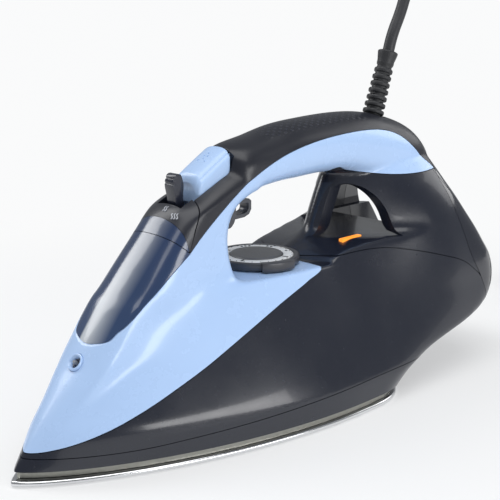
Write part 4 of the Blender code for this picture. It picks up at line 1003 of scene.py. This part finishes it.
def build_button():
    mesh = bm_mesh("spray_button_cap", button_solid())
    angles = [math.pi * i / 24 for i in range(25)]
    face = [(6.6 * math.cos(a), 118.6 + 7.6 * math.sin(a) ** 0.9) for a in angles]
    face += [(-6.6, 108.0), (6.6, 108.0)]
    recess = loft([[(x, -60.0, z) for x, z in face], [(x, -48.9, z) for x, z in face]])
    mesh = combine(mesh, bm_mesh("recess", recess), "DIFFERENCE")
    post = placed(lathe([(1.7, 110.7), (1.7, 121.0)], 24), (-8.0, -44.5, 0))
    mesh = combine(mesh, bm_mesh("post", post), "UNION")
    mesh = combine(mesh, bm_mesh("tongue", block((-6.5, -30.4, 133.6), (6.5, -19.6, 138.7))), "UNION")
    mesh = bevelled(mesh, 0.45, 3, 40.0)
    add_piece("spray_button_cap", mesh, blue_plastic, "spray_button_body", ["spray_button"])
    places = ((-2.4, -39.8), (0.0, -38.6), (2.4, -39.8), (-1.2, -36.6), (1.2, -36.6), (0.0, -34.6))
    for number, (x, y) in enumerate(places):
        z = 137.75 + (y + 37.0) * 0.6 - 0.018 * x * x
        bead = lathe([(0.05, 0.22), (0.30, 0.16), (0.50, -0.05), (0.54, -0.6)], 16)
        tilt = Vector((0.03 * x, -0.51, 0.86)).to_track_quat("Z", "Y")
        add_piece("spray_mark_%d" % number, bm_mesh("mark", placed(bead, (x, y, z), tilt)), mark_plastic,
                  "spray_button_body")


def build_lever():
    outline = [(-57.8, 104.0), (-53.0, 104.0), (-54.9, 119.0), (-54.6, 126.5), (-56.4, 131.2), (-59.4, 131.2),
               (-61.2, 126.8), (-59.8, 119.0)]
    mesh = bm_mesh("lever", prism(curve_through(outline + outline[:1], 1.2)[:-1], 3.2))
    axis = Vector((0.0, 0.8, 0.6))
    centre = Vector((0.0, -54.0, 106.0))
    mesh = combine(mesh, bm_mesh("hub", rod(centre - axis * 5.0, centre + axis * 4.0, 4.4)), "UNION")
    for z in (124.5, 127.0, 129.5):
        y = -62.2 + (z - 124.5) * 0.28
        mesh = combine(mesh, bm_mesh("notch", rod((-5, y, z), (5, y, z), 0.7, 16)), "DIFFERENCE")
    mesh = bevelled(mesh, 0.7, 3, 40.0)
    add_piece("steam_lever_grip", mesh, lever_plastic, "steam_lever_body", ["steam_lever"])


def build_trigger():
    outline = [(-33.5, 110.4), (-29.8, 109.8), (-27.4, 107.6), (-26.6, 104.0), (-27.6, 100.4), (-24.6, 99.4),
               (-21.4, 102.2), (-20.4, 107.0), (-20.6, 112.6), (-23.6, 116.4), (-29.0, 117.0), (-33.5, 114.6)]
    mesh = bm_mesh("trigger", prism(curve_through(outline + outline[:1], 1.0)[:-1], 4.6))
    mesh = combine(mesh, bm_mesh("arm", block((-0.5, -45.5, 110.8), (10.8, -33.2, 113.2))), "UNION")
    loop = [(-24.5, 112.8), (-9.5, 112.8), (-8.0, 111.6), (-8.0, 107.0), (-9.6, 104.6), (-13.0, 103.4),
            (-24.5, 103.0)]
    hole = [(-19.4, 110.8), (-10.6, 110.8), (-10.0, 110.2), (-10.0, 107.6), (-11.0, 106.2), (-13.4, 105.4),
            (-19.4, 105.4)]
    mesh = combine(mesh, bm_mesh("loop", prism(loop, 3.4)), "UNION")
    mesh = combine(mesh, bm_mesh("hole", prism(hole, 6.0)), "DIFFERENCE")
    mesh = bevelled(mesh, 0.5, 3, 40.0)
    add_piece("steam_trigger_hook", mesh, trigger_plastic, "steam_trigger_body", ["steam_trigger"])


FLUTES = 96
FLUTE_DEPTH = 0.16
TAB_TURN = -16
TAB_SPREAD = 22
DIAL_MARKS = 7
DIAL_TICKS = 28


def dial_tab():
    """Finger tab on the rim, an arc of the dial's edge."""
    arc = [math.radians(TAB_SPREAD * (i / 8 - 1)) for i in range(17)]
    flares = [(26.4 - 0.6 * abs(math.sin(a * 2.4)), a) for a in arc]
    tab = [(r * math.cos(a), r * math.sin(a)) for r, a in flares]
    tab += [(20.8 * math.cos(a), 20.8 * math.sin(a)) for a in reversed(arc)]
    solid = loft([[(x, y, z) for x, y in tab] for z in (77.3, 81.7)])
    return placed(solid, (0, DIAL_Y, 0), turn_about_z(TAB_TURN))


def dial_marks():
    """Groups of one to three dots, bars at the other settings, and a ring of fine ticks."""
    marks = bmesh.new()
    for number in range(DIAL_MARKS):
        angle = 20 + number * 45
        dots = number if number in (1, 2, 3) else 0
        for k in range(dots):
            dot = placed(lathe([(0.05, 81.45), (0.65, 81.42), (0.80, 81.2)], 16), (17.2, 0, 0))
            shift = math.degrees((k - (number - 1) / 2) * 0.13)
            join(marks, placed(dot, (0, DIAL_Y, 0), turn_about_z(angle + shift)))
        if not dots:
            bar = block((15.5, -0.55, 81.2), (18.6, 0.55, 81.42))
            join(marks, placed(bar, (0, DIAL_Y, 0), turn_about_z(angle)))
    for number in range(DIAL_TICKS):
        tick = block((18.9, -0.22, 81.2), (19.6, 0.22, 81.4))
        join(marks, placed(tick, (0, DIAL_Y, 0), turn_about_z(number * 360.0 / DIAL_TICKS)))
    return marks


def build_dial():
    rim = [(2.0, 77.2), (22.4, 77.2), (23.0, 77.6), (23.3, 78.2), (23.3, 80.5), (23.0, 81.1), (22.4, 81.35),
           (20.6, 81.35), (20.2, 80.9), (20.1, 80.3), (2.0, 80.3)]
    mesh = bm_mesh("dial", lathe(rim, 192))
    for vertex in mesh.vertices:
        x, y, z = vertex.co
        radius = math.hypot(x, y)
        if radius > 22.8 * MM and 77.7 * MM < z < 81.0 * MM:
            angle = math.atan2(y, x)
            depth = FLUTE_DEPTH * MM * (1 + math.cos(angle * FLUTES)) / 2
            vertex.co.x -= x / radius * depth
            vertex.co.y -= y / radius * depth
    mesh.transform(Matrix.Translation((0, DIAL_Y * MM, 0)))
    mesh = combine(mesh, bm_mesh("tab", dial_tab()), "UNION")
    mesh = bevelled(mesh, 0.35, 2, 45.0)
    add_piece("dial_wheel", mesh, dial_plastic, "dial_body", ["temperature_dial"])
    ring = [(14.6, 80.5), (14.6, 81.1), (14.8, 81.25), (19.7, 81.25), (19.9, 81.1), (19.9, 80.5)]
    add_piece("dial_scale", bm_mesh("scale", placed(lathe(ring, 96, True), (0, DIAL_Y, 0))), scale_plastic,
              "dial_body", ["dial_scale_ring"])
    cap = [(0.05, 82.3), (4.0, 82.25), (9.0, 82.1), (12.6, 81.95), (13.7, 81.75), (14.2, 81.3),
           (14.3, 80.7), (0.05, 80.7)]
    add_piece("dial_top", bm_mesh("cap", placed(lathe(cap[::-1], 96), (0, DIAL_Y, 0))), cap_metal,
              "dial_body", ["dial_cap"])
    add_piece("dial_marks", bm_mesh("marks", dial_marks()), ink, "dial_body")
    pointer = [(-2.2, 0.55), (2.2, 0.55), (2.2, -0.55), (-2.2, -0.55)]
    mark = loft([[(x, y, z) for x, y in pointer] for z in (76.30, 76.62)])
    placed(mark, (0, 26.2 + DIAL_Y, 0))
    add_piece("dial_pointer_mark", bevelled(bm_mesh("pointer", mark), 0.2, 2), pointer_ink, "iron_body")


# Place, normal and number of lines of each group
COLLAR_MARKS = (((1.2, -64.6, 115.20), (0.02, -0.48, 0.88), 2),
                ((9.2, -65.8, 112.80), (0.27, -0.56, 0.78), 3))


def build_collar_marks():
    """Two raised groups of wavy lines, less steam and more steam, in front of the lever."""
    marks = bmesh.new()
    for place, normal, count in COLLAR_MARKS:
        turn = Vector(normal).to_track_quat("Z", "Y")
        for k in range(count):
            middle = (k - (count - 1) / 2) * 1.35
            line = [(middle + 0.42 * math.sin(i / 10 * 2 * math.pi), i * 0.34 - 1.7) for i in range(11)]
            strip = [(x - 0.27, y) for x, y in line] + [(x + 0.27, y) for x, y in reversed(line)]
            solid = loft([[(x, y, z) for x, y in strip] for z in (-0.6, 0.2)])
            join(marks, placed(solid, place, turn))
    add_piece("collar_steam_marks", bm_mesh("marks", marks), light_print, "iron_body")


# ---------------------------------------------------------------- cord guard, screws and small trim

def build_guard():
    """Ribbed sleeve with slots on alternate sides between its ribs."""
    profile = [(0.05, -4.5), (7.0, -4.5), (7.1, -4.3), (7.1, 0.6), (6.9, 1.0), (6.2, 1.3)]
    for i in range(GUARD_RIBS):
        z = 2.3 + i * GUARD_PITCH
        r = 6.3 - 0.14 * i
        profile += [(4.5, z - 0.3), (4.4, z), (4.5, z + 0.25), (r - 0.5, z + 0.35), (r - 0.12, z + 0.65),
                    (r, z + 1.1), (r, z + 2.0), (r - 0.12, z + 2.5), (r - 0.5, z + 2.8), (4.5, z + 2.95)]
    profile += [(4.25, 31.2), (4.9, 32.0), (5.0, 33.0), (5.0, 34.4), (5.5, 36.8), (5.9, 39.0),
                (5.85, 39.7), (5.5, GUARD_LENGTH), (3.7, GUARD_LENGTH), (3.6, 39.0), (0.05, 39.0)]
    mesh = bm_mesh("guard", placed(lathe(profile, 56), GUARD_BASE, GUARD_TURN))
    for i in range(GUARD_RIBS - 1):
        z = 3.9 + i * GUARD_PITCH
        for angle in ((0, 180) if i % 2 else (90, 270)):
            tool = placed(block((3.0, -1.6, z + 1.15), (9.0, 1.6, z + 1.75)), turn=turn_about_z(angle))
            tool = placed(tool, GUARD_BASE, GUARD_TURN)
            mesh = combine(mesh, bm_mesh("slot", tool), "DIFFERENCE")
    add_piece("cord_guard_ribbed", mesh, rubber, "cord_guard_body", ["cord_guard"], sharp=50)


def build_screws():
    for label, sign in (("right", 1), ("left", -1)):
        head = [(0.05, 0.0), (1.5, 0.0), (1.55, 0.2), (1.55, 2.6), (1.3, 3.05), (0.8, 3.2), (0.05, 3.2)]
        turn = Vector((0, 1, 0)).to_track_quat("Z", "Y")
        place = (sign * SCREW_X, SCREW_Y, SCREW_Z)
        mesh = bm_mesh("screw", placed(lathe(head, 40), place, turn))
        for angle in (0, 90):
            tool = placed(block((-1.05, -0.2, 2.3), (1.05, 0.2, 4.0)), turn=turn_about_z(angle))
            mesh = combine(mesh, bm_mesh("cross", placed(tool, place, turn)), "DIFFERENCE")
        add_piece("rear_screw_head_" + label, mesh, plain_steel, "iron_body", ["rear_screw_" + label])


def build_nozzle():
    dish = [(2.55, -9.0), (2.55, -0.7), (2.8, 0.1), (3.3, 0.8), (3.8, 1.15), (4.2, 1.05), (4.4, 0.6),
            (4.4, -1.5), (3.4, -9.0)]
    mesh = bm_mesh("nozzle", placed(lathe(dish, 64, True), NOZZLE_POINT, NOZZLE_TURN))
    add_piece("spray_nozzle_ring", mesh, blue_plastic, "iron_body", ["spray_nozzle"])
    core = [(1.3, -9.0), (1.3, -1.5), (1.5, -1.0), (2.0, -1.1), (2.45, -0.75), (2.52, -1.2), (2.52, -9.0)]
    mesh = bm_mesh("nozzle_core", placed(lathe(core, 48, True), NOZZLE_POINT, NOZZLE_TURN))
    add_piece("spray_nozzle_core", mesh, nozzle_plastic, "iron_body")


# ---------------------------------------------------------------- cord, tie and plug

CORD_DIAMETER = 7.0
COIL_CENTRE = (10.0, 338.0)
COIL_TURNS = (33.2, 40.3, 47.4)
COIL_LAYERS = (3.6, 10.7)
CORD_ROUTE = [(0.0, 119.0, 206.0), (0.0, 124.0, 217.0), (1.0, 132.0, 233.0), (3.0, 144.0, 250.0),
              (8.0, 162.0, 262.0), (17.0, 188.0, 262.0), (26.0, 212.0, 243.0), (33.0, 226.0, 210.0),
              (38.0, 233.0, 165.0), (42.0, 238.0, 110.0), (46.0, 242.0, 60.0), (50.0, 250.0, 24.0),
              (54.0, 266.0, 7.0), (57.0, 288.0, 3.8), (57.4, 311.0, 3.6)]
CORD_TAIL = [(57.4, 347.0, 10.6), (57.4, 357.0, 9.6), (57.4, 366.5, 7.2), (57.3, 376.0, 5.4),
             (54.9, 389.0, 4.6), (48.6, 399.9, 5.0), (39.2, 407.9, 7.4), (28.0, 411.6, 11.2),
             (20.0, 412.0, 13.2), (12.0, 412.0, 13.4)]
PLUG_POINT = (14.0, 412.0)
PLUG_Z = 13.4


def coil_points():
    """Six turns in two layers: inward along the floor, up, and outward again."""
    cx, cy = COIL_CENTRE
    inner, middle, outer = COIL_TURNS
    low, high = COIL_LAYERS
    # Angle in degrees, radius and height; each stage runs smoothly into the next
    stages = [(0, outer, low), (250, outer, low), (345, middle, low), (610, middle, low), (705, inner, low),
              (945, inner, low), (1005, inner, high), (1230, inner, high), (1325, middle, high),
              (1590, middle, high), (1685, outer, high), (2160, outer, high)]
    points = []
    for step in range(0, 2160, 15):
        for (a0, r0, z0), (a1, r1, z1) in zip(stages, stages[1:]):
            if a0 <= step <= a1:
                t = smooth_step(a0, a1, step)
                radius, z = r0 + (r1 - r0) * t, z0 + (z1 - z0) * t
                break
        angle = math.radians(step)
        points.append((cx + radius * math.cos(angle), cy + radius * math.sin(angle), z))
    points.append((cx + outer, cy, high))
    return points


def build_cord():
    start = GUARD_BASE + GUARD_AXIS * (GUARD_LENGTH - 2.0)
    lead = [tuple(start), tuple(GUARD_BASE + GUARD_AXIS * (GUARD_LENGTH + 10.0))]
    points = [Vector(p) * MM for p in lead + CORD_ROUTE + coil_points() + CORD_TAIL]
    data = bpy.data.curves.new("mains_cord", "CURVE")
    data.dimensions = "3D"
    data.bevel_depth = CORD_DIAMETER / 2 * MM
    data.bevel_resolution = 5
    data.use_fill_caps = True
    data.resolution_u = 6
    spline = data.splines.new("BEZIER")
    spline.bezier_points.add(len(points) - 1)
    for target, point in zip(spline.bezier_points, points):
        target.co = point
        target.handle_left_type = target.handle_right_type = "AUTO"
    data.materials.append(cord_rubber.material)
    cord = bpy.data.objects.new("mains_cord", data)
    bpy.context.scene.collection.objects.link(cord)
    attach(cord, "iron_body")
    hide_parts("power_cord", "cord_tail", "cord_coil")
    return cord, points[0]


def build_tie():
    """Rounded band round the coil's cord at one side."""
    cx, cy = COIL_CENTRE
    turn = turn_about_z(150.0)
    low, high, top = 29.2, 51.6, 14.8
    radius = 3.0
    near, far = low + radius, high - radius
    bottom, over = 0.1 + radius, top - radius
    outline = []
    for x, z, first in ((far, bottom, -90), (far, over, 0), (near, over, 90), (near, bottom, 180)):
        for i in range(9):
            a = math.radians(first + 90 * i / 8)
            outline.append((x + radius * math.cos(a), z + radius * math.sin(a)))
    bm = bmesh.new()
    rings = []
    for grow, y in ((0.0, -3.6), (0.5, -4.0), (1.0, -3.6), (1.0, 3.6), (0.5, 4.0), (0.0, 3.6)):
        ring = []
        mid_x, mid_z = (low + high) / 2, top / 2
        for x, z in outline:
            d = Vector((x - mid_x, z - mid_z)).normalized()
            ring.append(bm.verts.new((x + d.x * grow, y, max(z + d.y * grow, 0.02))))
        rings.append(ring)
    for k in range(len(rings)):
        a, b = rings[k], rings[(k + 1) % len(rings)]
        for i in range(len(a)):
            j = (i + 1) % len(a)
            bm.faces.new((a[i], a[j], b[j], b[i]))
    bmesh.ops.transform(bm, matrix=Matrix.Translation((cx, cy, 0)) @ turn, verts=bm.verts)
    return add_piece("cord_tie_band", bm_mesh("tie", bm), rubber, "iron_body", ["cord_tie"])


def build_plug():
    """Moulded plug: sections (x, half width, half height) with grooves on its neck and its grips."""
    profile = [(0, 4.3, 4.3), (8, 5.0, 5.0), (18, 8.0, 7.0), (24, 12.0, 9.0), (38, 17.0, 12.5),
               (50, 18.3, 13.0), (56, 18.3, 13.0), (58.4, 17.9, 12.6), (59, 17.0, 11.8)]
    rings = []
    for x, half_y, half_z in curve_through(profile, 1.6):
        groove = 0.0
        for k in range(5):
            centre = 3.0 + k * 2.9
            groove = max(groove, 0.55 * math.exp(-((x - centre) / 0.5) ** 2))
        for k in range(6):
            centre = 38.0 + k * 2.6
            groove = max(groove, 0.45 * math.exp(-((x - centre) / 0.6) ** 2))
        ring = []
        for i in range(64):
            a = 2 * math.pi * i / 64
            c, s = math.cos(a), math.sin(a)
            side = groove * (1.0 if x < 20 else abs(c) ** 0.5 * (abs(s) < 0.6))
            ring.append((x, (half_y - side) * math.copysign(abs(c) ** 0.72, c),
                         PLUG_Z + (half_z - (groove if x < 20 else 0)) * math.copysign(abs(s) ** 0.72, s)))
        rings.append(ring)
    turn = turn_about_z(180.0)
    offset = (PLUG_POINT[0], PLUG_POINT[1], 0)
    plug = add_piece("plug_housing", bm_mesh("plug", placed(loft(rings), offset, turn)), rubber, "iron_body",
                     ["plug_body"], sharp=55)
    pins = []
    for label, y in (("a", 9.5), ("b", -9.5)):
        sleeve = [(0.05, 0.0), (2.4, 0.0), (2.4, 17.2), (2.2, 18.2), (1.6, 18.7), (0.05, 18.7)]
        pin = placed(lathe(sleeve, 32), (59.3, y, PLUG_Z), Vector((1, 0, 0)).to_track_quat("Z", "Y"))
        mesh = bm_mesh("pin", placed(pin, offset, turn))
        pins.append(add_piece("plug_contact_" + label, mesh, brass, "iron_body", ["plug_pin_" + label]))
    return plug, pins


# ---------------------------------------------------------------- carried-over CAD nodes

def dress(node, finish):
    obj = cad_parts[node]
    obj.data.materials.clear()
    obj.data.materials.append(finish.material)


def lamp_finish():
    f = moulded("amber_lens", (0.95, 0.30, 0.03), 0.18)
    f.put("Emission Color", (1.0, 0.33, 0.04, 1.0))
    f.put("Emission Strength", 0.9)
    f.put("Coat Weight", 0.4)
    return f


def build_carried_over():
    aluminium = brushed("cast_aluminium", (0.30, 0.30, 0.27), 0.42, scratch=0.02)
    tank = moulded("tank_plastic", (0.16, 0.24, 0.38), 0.22)
    board = moulded("circuit_board_green", (0.02, 0.12, 0.05), 0.4)
    red = moulded("red_insulation", (0.5, 0.03, 0.02), 0.4)
    groups = [
        (aluminium, ["sole_casting", "chamber_cover"]),
        (plain_steel, ["heating_element", "spray_spring", "boost_spring"]),
        (brass, ["element_terminal_right", "element_terminal_left", "dosing_valve_seat", "dosing_needle"]),
        (grey_plastic, ["heat_shield", "spray_plunger", "boost_plunger", "cord_clamp", "nozzle_insert"]),
        (white_plastic, ["thermostat", "thermal_fuse", "spray_pump_body", "boost_pump_body", "dial_spindle",
                         "indicator_led", "terminal_block"]),
        (tank, ["water_tank"]),
        (board, ["circuit_board"]),
        (red, ["heater_wire_live"]),
        (rubber, ["filler_seal", "spray_hose", "boost_hose", "wiring_sleeve", "heater_wire_neutral"]),
        (lamp_finish(), ["indicator_lens"]),
    ]
    for finish, names in groups:
        for name in names:
            dress(name, finish)


# ---------------------------------------------------------------- build

cord, cord_exit = build_cord()
tie = build_tie()
plug, plug_pins = build_plug()
build_shells(hollow_form(outer_form()))
build_sole()
build_button()
build_lever()
build_trigger()
build_dial()
build_guard()
build_screws()
build_nozzle()
build_collar_marks()
build_carried_over()
